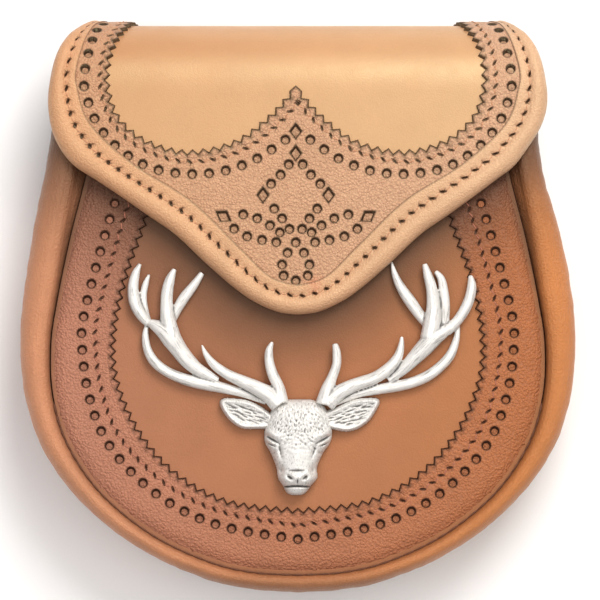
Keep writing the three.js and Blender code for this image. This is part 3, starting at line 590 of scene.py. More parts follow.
def leather_sheet(name, outline, holes, pits, spacing, thickness, place, drop=None,
                  edge_burn_and_shade=1.0, taper=0.3):
    """Leather cut flat, punched, pricked and then laid in place.

    outline is a closed loop turning left, holes are loops turning left, and pits are
    (x, y, direction). place bends (points, height) into the frame.
    """
    taken, sink, burn_and_shade, edges = [], [], [], []

    def add(points, depth, burnt_and_shaded, closed=False):
        first = len(taken)
        taken.extend(points.tolist())
        sink.extend([depth] * len(points))
        burn_and_shade.extend([burnt_and_shaded] * len(points))
        if closed:
            edges.extend((first + i, first + (i + 1) % len(points)) for i in range(len(points)))
        return range(first, first + len(points))

    # Cut edges are burnt dark; the darkening spreads a little inwards, partly burnt edge and partly
    # painted shadow of the edge.
    loops = [add(outline, 0.12, edge_burn_and_shade, closed=True)]
    add(inset_loop(outline, 0.34), 0.03, 0.6 * edge_burn_and_shade)
    add(inset_loop(outline, 0.75), 0.0, 0.0)
    for hole in holes:
        loops.append(add(hole, 0.12, 1.0, closed=True))
        middle = hole.mean(axis=0)
        # The hole's rim is burnt; the soft dark halo round it is partly burnt edge and partly
        # painted shade.
        add(middle + (hole - middle) * 1.14, 0.03, 0.55)
        add(middle + (hole - middle) * 1.36, 0.0, 0.0)
    # Stitch pits, darkened with painted shade towards their bottoms.
    for x, y, direction in pits:
        for points, depth, burnt_and_shaded in pit_rings(x, y, direction):
            add(points, depth, burnt_and_shaded)

    solid = np.array(taken)
    keep = inside(solid, outline)
    keep[list(loops[0])] = True
    for hole in holes:
        keep &= ~inside(solid, hole)
    for loop in loops:
        keep[list(loop)] = True
    number = np.cumsum(keep) - 1
    points, sink, burn_and_shade = solid[keep], np.array(sink)[keep], np.array(burn_and_shade)[keep]
    edges = [(int(number[a]), int(number[b])) for a, b in edges]
    loops = [[int(number[i]) for i in loop] for loop in loops]

    # Even points fill what lies clear of the cuts.
    low, high = outline.min(axis=0), outline.max(axis=0)
    filler = np.array([
        (x, y) for row, y in enumerate(np.arange(low[1], high[1], spacing * math.sqrt(3) / 2))
        for x in np.arange(low[0] + (row % 2) * spacing / 2, high[0], spacing)])
    filler = filler[inside(filler, outline)]
    for hole in holes:
        filler = filler[np.linalg.norm(filler - hole.mean(axis=0), axis=1) > HOLE_CLEARANCE]
    filler = filler[distances_to(points, filler) > 0.62 * spacing]
    points = np.vstack([points, filler])
    sink = np.concatenate([sink, np.zeros(len(filler))])
    burn_and_shade = np.concatenate([burn_and_shade, np.zeros(len(filler))])

    result = delaunay_2d_cdt([Vector(p) for p in points], edges, [], 0, 1e-5)
    crossed = [tuple(v) for v, origins in zip(result[0], result[3]) if not origins]
    if crossed:
        raise RuntimeError(f"{name}: outlines cross at {crossed[:4]}")
    source = [origins[0] for origins in result[3]]
    triangles = np.array([[source[i] for i in face] for face in result[2]])
    centres = points[triangles].mean(axis=1)
    kept = inside(centres, outline)
    for hole in holes:
        kept &= ~inside(centres, hole)
    triangles = triangles[kept]

    height = np.full(len(points), thickness) - sink
    if drop is not None:
        height = height - drop(points)
    top = place(points, height)
    # The cut faces lean outwards a little, so the lower edge stands past the upper one.
    foot = points.copy()
    for k, loop in enumerate(loops):
        if k == 0:
            foot[loop] = inset_loop(points[loop], -taper)
        else:
            # The hole's wall leans so that its dark upper side shows: a painted shadow, as light
            # from above would cast into the hole.
            middle = points[loop].mean(axis=0)
            foot[loop] = points[loop] + (middle - points[loop]) * 0.3 + [0, -0.33]
    under = place(foot, np.zeros(len(points)) - (drop(points) if drop is not None else 0))
    count = len(points)
    faces = triangles.tolist()
    faces += (triangles[:, ::-1] + count).tolist()
    for k, loop in enumerate(loops):
        for i, a in enumerate(loop):
            b = loop[(i + 1) % len(loop)]
            faces.append([b, a, a + count, b + count] if k == 0 else [a, b, b + count, a + count])
    # Walls of cuts and holes are dark: burnt edge, and on the holes' upper sides painted shadow.
    piece = mesh_piece(name, np.vstack([top, under]), faces,
                       np.concatenate([burn_and_shade, np.maximum(burn_and_shade, 0.75 * (burn_and_shade > 0.9))]))
    recalculate_normals(piece)
    smooth_shade(piece, 50)
    return piece


def hole_floors(name, holes, place, material, slot):
    """The leather seen at the bottom of each punched hole, as one small pad a hole, darkened with
    painted shade.
    """
    positions, faces = [], []
    for loop in holes:
        middle = loop.mean(axis=0)
        rim = middle + (loop[::2] - middle) * 0.95
        count, first = len(rim), len(positions)
        positions.extend(place(rim, np.full(count, FLOOR_LEVEL)))
        positions.extend(place(np.vstack([middle, middle]),
                               FLOOR_LEVEL + np.array([0.03, -0.03])))
        for i in range(count):
            a, b = first + i, first + (i + 1) % count
            faces += [[a, b, first + count], [b, a, first + count + 1]]
    piece = mesh_piece(name, positions, faces, np.full(len(positions), PAINTED_FLOOR_SHADE))
    recalculate_normals(piece)
    finish_piece(piece, name, material, slot)


def directions_at(path, distance):
    along = path.along(distance)
    return np.arctan2(along[:, 1], along[:, 0])


def pits_along(path, distance):
    where = path.at(distance)
    return [(x, y, turn) for (x, y), turn in zip(where, directions_at(path, distance))]


def stitches(name, spans, radius, thread, slot):
    """Thread from each stitch hole to the next; spans hold end points and normals in mm."""
    rings, sides = 6, 6
    share = np.linspace(0, 1, rings)
    arch = 0.14 * np.sin(math.pi * share) ** 0.6 - 0.42 + 0.42 * np.sin(math.pi * share)
    positions, faces = [], []
    for start, end, up in spans:
        start, end, up = (np.array(v, float) for v in (start, end, up))
        run = end - start
        across = np.cross(up, run)
        across /= np.linalg.norm(across)
        first = len(positions)
        for k in range(rings):
            middle = start + run * share[k] + up * arch[k]
            swell = radius * (0.75 + 0.25 * math.sin(math.pi * share[k]))
            for j in range(sides):
                angle = 2 * math.pi * j / sides
                positions.append(middle + swell * (math.cos(angle) * across
                                                   + math.sin(angle) * up))
        for k in range(rings - 1):
            for j in range(sides):
                a, b = first + k * sides + j, first + k * sides + (j + 1) % sides
                faces.append([a, b, b + sides, a + sides])
        faces.append([first + j for j in range(sides)][::-1])
        faces.append([first + (rings - 1) * sides + j for j in range(sides)])
    piece = mesh_piece(name, positions, faces)
    recalculate_normals(piece)
    smooth_shade(piece, 60)
    finish_piece(piece, name, bpy.data.materials[thread], slot)


def spans_on(path, distance, place, height, slant=PIT_SLANT):
    """Thread spans between stitch holes on a laid sheet."""
    points = path.at(distance)
    along = path.along(distance)
    turn = np.arctan2(along[:, 1], along[:, 0]) + slant
    reach = np.stack([np.cos(turn), np.sin(turn)], -1) * PIT_LONG * 0.85
    starts = points[:-1] + reach[:-1]
    ends = points[1:] - reach[1:]
    level = np.full(len(starts), height)
    base_a, base_b = place(starts, level), place(ends, level)
    up = place(starts, level + 1) - base_a
    return list(zip(base_a, base_b, up))


# ---- Materials ----
class Nodes:
    """Short names for wiring a material."""

    def __init__(self, name):
        self.material = bpy.data.materials.new(name)
        self.material.use_nodes = True
        self.tree = self.material.node_tree
        self.place = self.add("ShaderNodeTexCoord").outputs["Object"]

    def fill(self, node, inputs):
        """Constants are set on the sockets, sockets are linked."""
        for key, value in inputs.items():
            if isinstance(value, bpy.types.NodeSocket):
                self.tree.links.new(value, node.inputs[key])
            elif value is not None:
                node.inputs[key].default_value = value
        return node

    def add(self, kind, inputs=None, **settings):
        node = self.tree.nodes.new(kind)
        for key, value in settings.items():
            setattr(node, key, value)
        return self.fill(node, inputs or {})

    def surface(self, colour, roughness, normal=None, **inputs):
        """Wires the material's surface and gives the material."""
        inputs = {key.replace("_", " "): value for key, value in inputs.items()}
        self.fill(self.tree.nodes["Principled BSDF"], {
            "Base Color": colour, "Roughness": roughness, "Normal": normal, **inputs})
        return self.material

    def noise(self, scale, detail=2.0, roughness=0.5, vector=None, distortion=0.0):
        return self.add("ShaderNodeTexNoise", {
            "Vector": vector or self.place, "Scale": scale, "Detail": detail,
            "Roughness": roughness, "Distortion": distortion}).outputs["Fac"]

    def math(self, operation, a, b):
        return self.add("ShaderNodeMath", {0: a, 1: b}, operation=operation).outputs[0]

    def vector(self, operation, inputs):
        return self.add("ShaderNodeVectorMath", inputs, operation=operation)

    def ramp(self, source, low, high, to_low=0.0, to_high=1.0):
        return self.add("ShaderNodeMapRange", {
            "Value": source, "From Min": low, "From Max": high,
            "To Min": to_low, "To Max": to_high}).outputs["Result"]

    def blend(self, factor, a, b):
        a, b = ((*c, 1.0) if isinstance(c, tuple) else c for c in (a, b))
        node = self.add("ShaderNodeMix", {"Factor": factor, 6: a, 7: b}, data_type="RGBA")
        return node.outputs[2]

    def bump(self, height, strength, distance, under=None):
        return self.add("ShaderNodeBump", {
            "Strength": strength, "Distance": distance, "Height": height,
            "Normal": under}).outputs["Normal"]

    def attribute(self, name, output="Fac"):
        return self.add("ShaderNodeAttribute", attribute_name=name).outputs[output]

    def stretched(self, scale, vector=None):
        return self.add("ShaderNodeMapping", {
            "Scale": scale, "Vector": vector or self.place}).outputs["Vector"]


def shade(colour, factor):
    return tuple(min(1.0, c * factor) for c in colour)


def leather(name, colour, grain, grain_depth, roughness, mottle, right=(1, 1, 1),
            crease=None, gloss=0.35, tint=(1.0, 0.84, 0.62), scuff=None):
    """Leather: cloudy colour, pebble grain, fine pores, painted light from left to right, and burnt
    cuts and painted shade where marked.
    """
    n = Nodes(name)
    cloud = n.ramp(n.noise(55, 4, 0.6), 0.3, 0.7)
    # Painted light: the tone shifts from the left side to the right, as light falls unevenly across
    # the pouch; right gives the colour factors at the right side.
    sides = n.add("ShaderNodeSeparateXYZ", {0: n.place})
    across = n.ramp(sides.outputs["X"], -HALF_WIDTH, HALF_WIDTH)
    painted_light_right = tuple(min(1.0, c * f) for c, f in zip(colour, right))
    dark, light = (n.blend(across, shade(colour, factor), shade(painted_light_right, factor))
                   for factor in (1 - mottle, 1 + mottle))
    tone = n.blend(cloud, dark, light)
    fleck = n.ramp(n.noise(900, 3, 0.7), 0.35, 0.75)
    tone = n.blend(n.math("MULTIPLY", fleck, 0.5 * mottle + 0.05), tone, shade(colour, 0.62))
    push = n.add("ShaderNodeTexNoise", {"Vector": n.place, "Scale": 420})
    small = n.vector("SCALE", {0: push.outputs["Color"], "Scale": 0.0009})
    warped = n.vector("ADD", {0: n.place, 1: small.outputs[0]})
    pebbles = n.add("ShaderNodeTexVoronoi", {"Vector": warped.outputs[0], "Scale": grain})
    pebbles = pebbles.outputs["Distance"]
    normal = n.bump(n.ramp(pebbles, 0.05, 0.75, 1, 0), grain_depth, 0.0004)
    normal = n.bump(n.noise(2600, 3, 0.65), 0.25 * grain_depth + 0.05, 0.0002, normal)
    if crease is not None:
        normal = crease(n, normal)
    gully = n.ramp(pebbles, 0.45, 0.8)
    tone = n.blend(n.math("MULTIPLY", gully, 0.35 * min(1, grain_depth)), tone, shade(colour, 0.5))
    # Painted shade: darker under and just below the flap, in the fold by the gusset and along the
    # bottom.
    tone = n.blend(n.attribute("painted_shade"), tone, shade(colour, 0.2))
    if scuff is not None:
        x, y, radius = (value * MM for value in scuff)
        spot = n.vector("DISTANCE", {0: n.stretched((1, 1, 0)), 1: (x, y, 0)})
        near = n.ramp(spot.outputs["Value"], radius, 0.25 * radius)
        rubbed = n.ramp(n.noise(520, 3, 0.6), 0.35, 0.6, 0.15, 0.6)
        tone = n.blend(n.math("MULTIPLY", near, rubbed), tone, (0.56, 0.17, 0.09))
    # Burnt cut edges, and painted shade in holes, pits and beside cut edges, all in one dark
    # colour.
    burnt_and_shaded = tuple(bpy.context.scene.sporran_leather.burnt_and_shaded)
    tone = n.blend(n.attribute("burn_and_shade"), tone, burnt_and_shaded)
    rough = n.ramp(n.noise(130, 3, 0.6), 0.3, 0.7, roughness - 0.06, roughness + 0.06)
    return n.surface(tone, rough, normal, Specular_IOR_Level=gloss, Specular_Tint=(*tint, 1.0))


def soft_creases(n, normal):
    """Fine wrinkles that run across the gusset's roll; the sheet's own map gives the way."""
    uv = n.add("ShaderNodeUVMap").outputs["UV"]
    wrinkle = n.noise(1.0, 3, 0.6, n.stretched((230.0, 7.0, 1.0), uv), 0.6)
    return n.bump(n.ramp(wrinkle, 0.35, 0.65), 0.35, 0.0005, normal)


def thread_material(name, colour):
    n = Nodes(name)
    ply = n.noise(2400, 2, 0.5)
    tone = n.blend(n.ramp(ply, 0.35, 0.65), shade(colour, 0.7), shade(colour, 1.15))
    n.surface(tone, 0.7, n.bump(ply, 0.5, 0.0002))


def pewter_material():
    """Cast metal, bright on what stands out and dark where patina stays."""
    n = Nodes("pewter")
    worn = n.ramp(n.noise(700, 4, 0.7), 0.3, 0.75)
    shadow = n.math("MULTIPLY", n.attribute("recess"), n.ramp(worn, 0, 1, 0.75, 1.0))
    streak = n.noise(1.0, 4, 0.65, n.attribute("strand", "Vector"), 0.3)
    metal = n.blend(worn, (0.74, 0.72, 0.69), (0.82, 0.80, 0.77))
    metal = n.blend(n.ramp(streak, 0.52, 0.72), metal, (0.36, 0.345, 0.325))
    tone = n.blend(shadow, metal, (0.07, 0.062, 0.058))
    rough = n.ramp(n.noise(300, 3, 0.6), 0.3, 0.7, 0.56, 0.68)
    normal = n.bump(n.noise(1800, 3, 0.6), 0.12, 0.0002)
    return n.surface(tone, rough, n.bump(streak, -0.55, 0.0006, normal), Metallic=0.35)


def brass_material():
    n = Nodes("brass")
    cloud = n.ramp(n.noise(400, 3, 0.6), 0.3, 0.7)
    tone = n.blend(cloud, (0.55, 0.40, 0.20), (0.72, 0.55, 0.30))
    return n.surface(tone, n.ramp(n.noise(900, 2), 0.3, 0.7, 0.3, 0.45), Metallic=1.0)


# ---- Pieces ----
def mark_painted_shade(piece):
    """Marks painted shade: leather darker where the flap lies over it and where its shadow falls
    just below the flap.
    """
    spots = read(piece.data)[:, :2] / MM - [0, ROW_Y]
    edge = Path(FLAP_EDGE).mirrored()
    edge = edge.at(edge.even(1.5)) + [0, BEND_Y - ROW_Y]
    near = distances_to(edge, spots)
    near[inside(spots, edge)] = 0
    breadth = 16 + 5 * np.clip(-spots[:, 0] / 30, -0.2, 1)
    shade_of = 0.95 * np.exp(-(near / breadth) ** 1.5)
    # Painted shade in the fold between the front and the gusset too, most of all near its top.
    seam = Path(SEAM).mirrored()
    to_seam = distances_to(seam.at(seam.even(1.5)), spots)
    width = 1.6 + 3.8 * np.clip((spots[:, 1] - 8) / 35, 0, 1)
    depth = 0.5 + 0.4 * np.clip((spots[:, 1] + 40) / 60, 0, 1)
    shade_of = np.maximum(shade_of, depth * np.exp(-(to_seam / width) ** 1.5))
    # Painted shade along the bottom too, where the light from above reaches less.
    shade_of = np.maximum(shade_of, 0.42 * np.clip((-82 - spots[:, 1]) / 8, 0, 1))
    mark(piece.data, "painted_shade", shade_of)


class SPORRAN_OT_front(bpy.types.Operator):
    """Model the smooth front and the punched border sewn over it"""

    bl_idname = "sporran.front"
    bl_label = "Front"

    def execute(self, context):
        seam = Path(SEAM).mirrored()
        self.panel(context.scene.sporran_leather)
        self.border(seam, context.scene.sporran_punch, context.scene.sporran_leather)
        return {"FINISHED"}

    def panel(self, colours):
        half = Path(SEAM)
        # Rows come down the seam, and every row spans from side to side.
        start = np.interp(-FRONT_TOP, -half.points[:, 1], half.distances)

        def place(across, along):
            distance = start + (half.length - start) * np.sin(along * math.pi / 2)
            edge = half.at(distance)
            x = np.maximum(edge[:, 0], 0.4) * (2 * across - 1) * 0.997
            return on_front(np.stack([x, edge[:, 1]], -1), 0)

        piece = shaped_grid("front_leather", 70, 80, place)
        thicken(piece, LEATHER - 0.1, (0, 0, 1))
        mark_painted_shade(piece)
        material = leather("plain_leather", tuple(colours.plain), 1500, 0.12, 0.5, 0.05,
                           (1.02, 0.92, 0.62))
        finish_piece(piece, "front_leather", material, "plain_leather", "front_panel")

    def border(self, seam, punch, colours):
        window = Path(WINDOW).mirrored()
        teeth = pinked(window, punch.tooth_pitch, punch.tooth_depth)
        teeth = teeth[(teeth[:, 1] < FRONT_TOP)]
        outer = seam.at(seam.even(2.2))
        outer = outer[outer[:, 1] < FRONT_TOP - 0.5]
        outer = np.vstack([[outer[0][0] + 0.3, FRONT_TOP], outer, [outer[-1][0] - 0.3, FRONT_TOP]])
        # Round the outside clockwise, back along the teeth: reversed, the loop turns left.
        top = [[teeth[-1][0], FRONT_TOP], [teeth[0][0], FRONT_TOP]]
        loop = np.vstack([outer, top[:1], teeth[::-1], top[1:]])[::-1]
        row = Path(FRONT_HOLES).mirrored()
        places = row.at(row.even(punch.hole_pitch))
        holes = [round_hole(x, y, punch.hole_radius) for x, y in places if y < 52]
        stitch_line = row.moved(-4.4)
        gaps = stitch_line.even(punch.stitch_pitch)
        gaps = gaps[stitch_line.at(gaps)[:, 1] < 50]

        def drop(points):
            """The outer edge rolls down into the seam."""
            return 2.2 * np.clip(1 - distances_to(outer, points) / 6, 0, 1) ** 1.8

        def place(points, height):
            return on_front(points, height + 0.12)

        piece = leather_sheet("front_border", loop, holes, pits_along(stitch_line, gaps),
                              punch.spacing, OVERLAY, place, drop)
        mark_painted_shade(piece)
        material = leather("front_grain", tuple(colours.grained_front), 1200, 0.8, 0.54, 0.06,
                           (0.9, 0.7, 0.4))
        finish_piece(piece, "front_border_leather", material, "grained_leather", "front_border")
        hole_floors("front_hole_floors", holes, place, material, "grained_leather")
        spans = spans_on(stitch_line, gaps, place, OVERLAY)
        stitches("front_stitches", spans, THREAD, "front_thread", "grained_leather")


class SPORRAN_OT_flap(bpy.types.Operator):
    """Model the flap, its punched border and its bound edge"""

    bl_idname = "sporran.flap"
    bl_label = "Flap"

    def execute(self, context):
        scene = context.scene
        self.leather(scene.sporran_leather)
        self.border(scene.sporran_punch, scene.sporran_leather)
        self.binding(scene.sporran_punch, scene.sporran_leather)
        return {"FINISHED"}

    def leather(self, colours):
        half = Path(FLAP_EDGE)

        def place(across, along):
            edge = half.at(half.length * np.sin(along * math.pi / 2))
            x = np.maximum(edge[:, 0] - 2.2, 0.5) * (2 * across - 1)
            s = np.maximum(edge[:, 1], FLAP_EDGE[-1][1] + 2.6)
            return on_flap(np.stack([x, s], -1), LEATHER)

        piece = shaped_grid("flap_leather", 60, 150, place)
        thicken(piece, LEATHER - 0.1, (0, 0, 1))
        material = leather("smooth_leather", tuple(colours.smooth), 1800, 0.1, 0.44, 0.04,
                           (1.1, 1.28, 1.4), gloss=1.0, tint=(0.9, 1.0, 0.62))
        finish_piece(piece, "flap_leather", material, "smooth_leather", "flap")

    def border(self, punch, colours):
        line = Path(BINDING_LINE).mirrored().moved(1.6)
        outer = line.at(line.even(1.8))
        half = Path(PEAK_EDGE[::-1])
        teeth = pinked(half, punch.tooth_pitch, punch.tooth_depth)
        teeth[0] = (0.0, PEAK_EDGE[-1][1] + 0.8)
        teeth = np.vstack([teeth[:0:-1] * [-1, 1], teeth])  # left end, peak, right end
        teeth = teeth + [MOTIF_X, 0]
        # The outer line runs from the right end round the tip to the left end.
        loop = np.vstack([outer, teeth])[::-1]
        row = Path(FLAP_HOLES)
        places = row.at(row.even(punch.hole_pitch))
        places = np.vstack([places, places * [-1, 1]] + [
            [[MOTIF_X + side * x, s]] for x, s in MOTIF_HOLES for side in ((1, -1) if x else (1,))])
        holes = [round_hole(x, s, punch.hole_radius) for x, s in places]
        holes += [diamond_hole(MOTIF_X + side * x, s, side * turn, long)
                  for x, s, turn, long in MOTIF_DIAMONDS for side in ((1, -1) if x else (1,))]
        right = half.moved(-2.9)
        left = Path.of((right.points * [-1, 1])[::-1])
        rows = [(right, right.even(punch.stitch_pitch, 3.4)),
                (left, left.even(punch.stitch_pitch, 0, 3.4))]

        def place(points, height):
            return on_flap(points, LEATHER + 0.1 + height)

        piece = leather_sheet("flap_border", loop, holes,
                              [pit for line, gaps in rows for pit in pits_along(line, gaps)],
                              punch.spacing, OVERLAY, place, edge_burn_and_shade=0.95)
        material = leather("flap_grain", tuple(colours.grained_flap), 1200, 0.85, 0.5, 0.06,
                           (1.12, 1.25, 1.38), gloss=0.7, tint=(1.0, 1.0, 0.6), scuff=SCUFF)
        finish_piece(piece, "flap_border_leather", material, "grained_leather", "flap_border")
        hole_floors("flap_hole_floors", holes, place, material, "grained_leather")
        spans = [span for line, gaps in rows for span in spans_on(line, gaps, place, OVERLAY)]
        stitches("flap_stitches", spans, THREAD, "thread", "grained_leather")

    def binding(self, punch, colours):
        def paired(rows):
            """Both edges are paired by s round the bend and by length down the front."""
            path = Path(rows)
            back = np.linspace(BACK_END, 0, 120, endpoint=False)
            start = np.interp(0, -path.points[:, 1], path.distances)
            half = np.vstack([
                path.at(np.interp(-back, -path.points[:, 1], path.distances)),
                path.at(start + (path.length - start) * np.linspace(0, 1, 200))])
            return np.vstack([half, half[-2::-1] * [-1, 1]])

        rims, lines = paired(FLAP_EDGE), paired(BINDING_LINE)
        # The rim is pushed a little to the left where the flap leaves the bend.
        rims[:, 0] -= 1.4 * np.exp(-((rims[:, 1] + 21) / 10) ** 2)
        rims = Path.of(rims)
        section = Path.of(Path(STRIP).points * [STRIP_WIDTH, 1])
        stitch_v = np.interp(6.1, section.points[120:, 0], section.distances[120:])

        def place(points, height):
            u, v = points[:, 0], points[:, 1]
            profile, side = section.at(v), section.along(v)
            across = (profile[:, 0] - side[:, 1] * height) / STRIP_WIDTH
            level = profile[:, 1] + side[:, 0] * height
            a = rims.at(u)
            b = np.stack([np.interp(u, rims.distances, lines[:, k]) for k in range(2)], -1)
            spot = a + (b - a) * across[:, None]
            # The roll is drawn flatter where it goes over the bend.
            flat = 0.8 * np.clip((spot[:, 1] - 6) / 18, 0, 1)
            return on_flap(spot, level - flat * np.clip(level - 3.5, 0, None))

        def outward(points, height):
            return place(points, height - STRIP_WALL)

        count = round(rims.length / 1.3)
        along = np.linspace(0.2, rims.length - 0.2, count)
        up = np.linspace(0.05, section.length - 0.05, 16)
        loop = np.vstack([
            np.stack([along, np.full(count, 0.05)], -1),
            np.stack([np.full(14, along[-1]), up[1:-1]], -1),
            np.stack([along[::-1], np.full(count, up[-1])], -1),
            np.stack([np.full(14, along[0]), up[1:-1][::-1]], -1),
        ])
        stitch_path = Path.of([(0.2, stitch_v), (rims.length - 0.2, stitch_v)])
        gaps = stitch_path.even(1.2 * punch.stitch_pitch, 2, 2)
        # Seen from outside the strip's own map is turned over, so the slant is too.
        pits = [(x, y, turn + STRIP_SLANT - PIT_SLANT)
                for x, y, turn in pits_along(stitch_path, gaps)]
        piece = leather_sheet("flap_binding", loop, [], pits, 1.25, STRIP_WALL, outward,
                              edge_burn_and_shade=0.7, taper=0.0)
        material = leather("binding_leather", tuple(colours.binding), 1500, 0.4, 0.44, 0.07,
                           (1.05, 1.24, 1.42), gloss=0.6, tint=(1.0, 1.0, 0.65), scuff=SCUFF)
        finish_piece(piece, "flap_binding_leather", material, "binding_leather", "flap_binding")
        spans = spans_on(stitch_path, gaps, outward, STRIP_WALL, STRIP_SLANT)
        stitches("binding_stitches", spans, THREAD, "thread", "binding_leather")


class SPORRAN_OT_gusset(bpy.types.Operator):
    """Model the soft side wall that rolls out past the front and back seams"""

    bl_idname = "sporran.gusset"
    bl_label = "Gusset"

    def execute(self, context):
        right = Path(np.column_stack([SEAM, ROLL_WIDTH, GROOVE]))
        left = right.points[::-1] * [-1, 1, 1, 1]
        whole = Path.of(np.vstack([right.points, left[1:]]))
        plane = Path.of(whole.points[:, :2])
        section = Path(GUSSET_SECTION)
        # Measure the section as it lies at a usual roll, so its points are spread evenly.
        laid = section.points @ np.array([[10, 0], [1, 0], [0, 1]])
        lengths = np.concatenate([[0], np.cumsum(np.linalg.norm(np.diff(laid, axis=0), axis=1))])

        def ripple(u, v, size_u, size_v, seed):
            return np.array([noise.noise(Vector((a / size_u, b / size_v, seed)))
                             for a, b in zip(u, v)])

        def place(across, along):
            u = along * plane.length
            values = np.stack([np.interp(u, plane.distances, whole.points[:, k])
                               for k in range(4)], -1)
            way = plane.along(u)
            out = np.stack([way[:, 1], -way[:, 0]], -1)
            out *= np.sign((out * values[:, :2]).sum(1))[:, None]
            v = across * lengths[-1]
            share, fixed, height = (np.interp(v, lengths, section.points[:, k])
                                    for k in range(3))
            groove = values[:, 3] * (share > 0.001)
            lean = -1.3 * np.sign(values[:, 0]) * np.exp(-((values[:, 1] - 45) / 22) ** 2)
            reach = fixed + groove + share * (values[:, 2] - values[:, 3] + lean)
            # Soft waves and small puckers, only where the wall is free.
            free = np.clip((reach - 0.5) / 3, 0, 1) * np.clip((height - 3) / 6, 0, 1)
            swell = free * (0.32 * ripple(u, v, 5.5, 26, 3.1) + 0.2 * ripple(u, v, 2.1, 7.5, 8.4))
            tall = np.clip((height - 30) / 6, 0, 1)
            reach = reach + swell * (1 - 0.7 * tall)
            spot = values[:, :2] + out * reach[:, None]
            return np.stack([spot[:, 0], spot[:, 1] + ROW_Y, height + swell * 0.5 * tall], -1)

        piece = shaped_grid("gusset_leather", 64, 360, place)
        mark_painted_shade(piece)
        thicken(piece, GUSSET_WALL, (1, 0, 0), degrees=60)
        material = leather("gusset_leather", tuple(context.scene.sporran_leather.gusset), 1250,
                           0.35, 0.39, 0.07, (0.92, 0.76, 0.42), soft_creases, 0.55)
        finish_piece(piece, "gusset_leather", material, "soft_leather", "gusset")
        # Seam thread that shows deep in the groove.
        line = plane.moved(0.1)
        points = [(x, y + ROW_Y, CREST - 2.6) for x, y in line.at(line.even(4.2, 105, 105))]
        spans = [(a, b, (0, 0, 1)) for a, b in zip(points[:-1], points[1:])]
        stitches("seam_stitches", spans, 0.3, "seam_thread", "soft_leather")
        return {"FINISHED"}


class SPORRAN_OT_back(bpy.types.Operator):
    """Finish the back panel and model the belt loops"""

    bl_idname = "sporran.back"
    bl_label = "Back"

    def execute(self, context):
        colour = tuple(context.scene.sporran_leather.gusset)
        material = leather("back_leather", colour, 1200, 0.3, 0.55, 0.08)
        self.panel(material)
        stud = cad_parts["press_stud"]
        stud.data.materials.clear()
        stud.data.materials.append(brass_material())
        for node in ("belt_loop_left", "belt_loop_right"):
            self.loop(node, material)
        return {"FINISHED"}

    def panel(self, material):
        """The flat back and the row that sews it to the gusset."""
        half = Path(SEAM)
        low, high = lowest("back_panel").z, highest("back_panel").z

        def place(across, along):
            edge = half.at(half.length * np.sin(along * math.pi / 2))
            x = np.maximum(edge[:, 0], 0.4) * (2 * across - 1) * 0.998
            return np.stack([x, edge[:, 1] + ROW_Y, np.full(len(x), high)], -1)

        piece = shaped_grid("back_leather", 60, 80, place)
        thicken(piece, LEATHER, (0, 0, 1), bevel=0.3)
        finish_piece(piece, "back_leather", material, "plain_leather", "back_panel")
        line = half.mirrored().moved(-2.6)

        def behind(points, height):
            return np.stack([points[:, 0], points[:, 1] + ROW_Y, low - height], -1)

        spans = spans_on(line, line.even(3.8, 4, 4), behind, 0.1)
        stitches("back_stitches", spans, 0.22, "thread", "plain_leather")

    def loop(self, node, material):
        low, high = lowest(node), highest(node)
        foot, slope = 9.0, 5.0
        sewn, bowed = high.z, low.z + LEATHER
        section = Path([
            (low.y, sewn), (low.y + foot, sewn), (low.y + foot + slope, bowed),
            ((low.y + high.y) / 2, bowed - 0.1), (high.y - foot - slope, bowed),
            (high.y - foot, sewn), (high.y, sewn)])

        def place(across, along):
            spot = section.at(along * section.length)
            x = low.x + (high.x - low.x) * across
            return np.stack([x, spot[:, 0], spot[:, 1] - 0.05], -1)

        piece = shaped_grid(node + "_leather", 12, 60, place)
        thicken(piece, STRAP, (0, 0, -1), offset=1, bevel=0.35, degrees=50)
        finish_piece(piece, node + "_strap", material, "plain_leather", node)


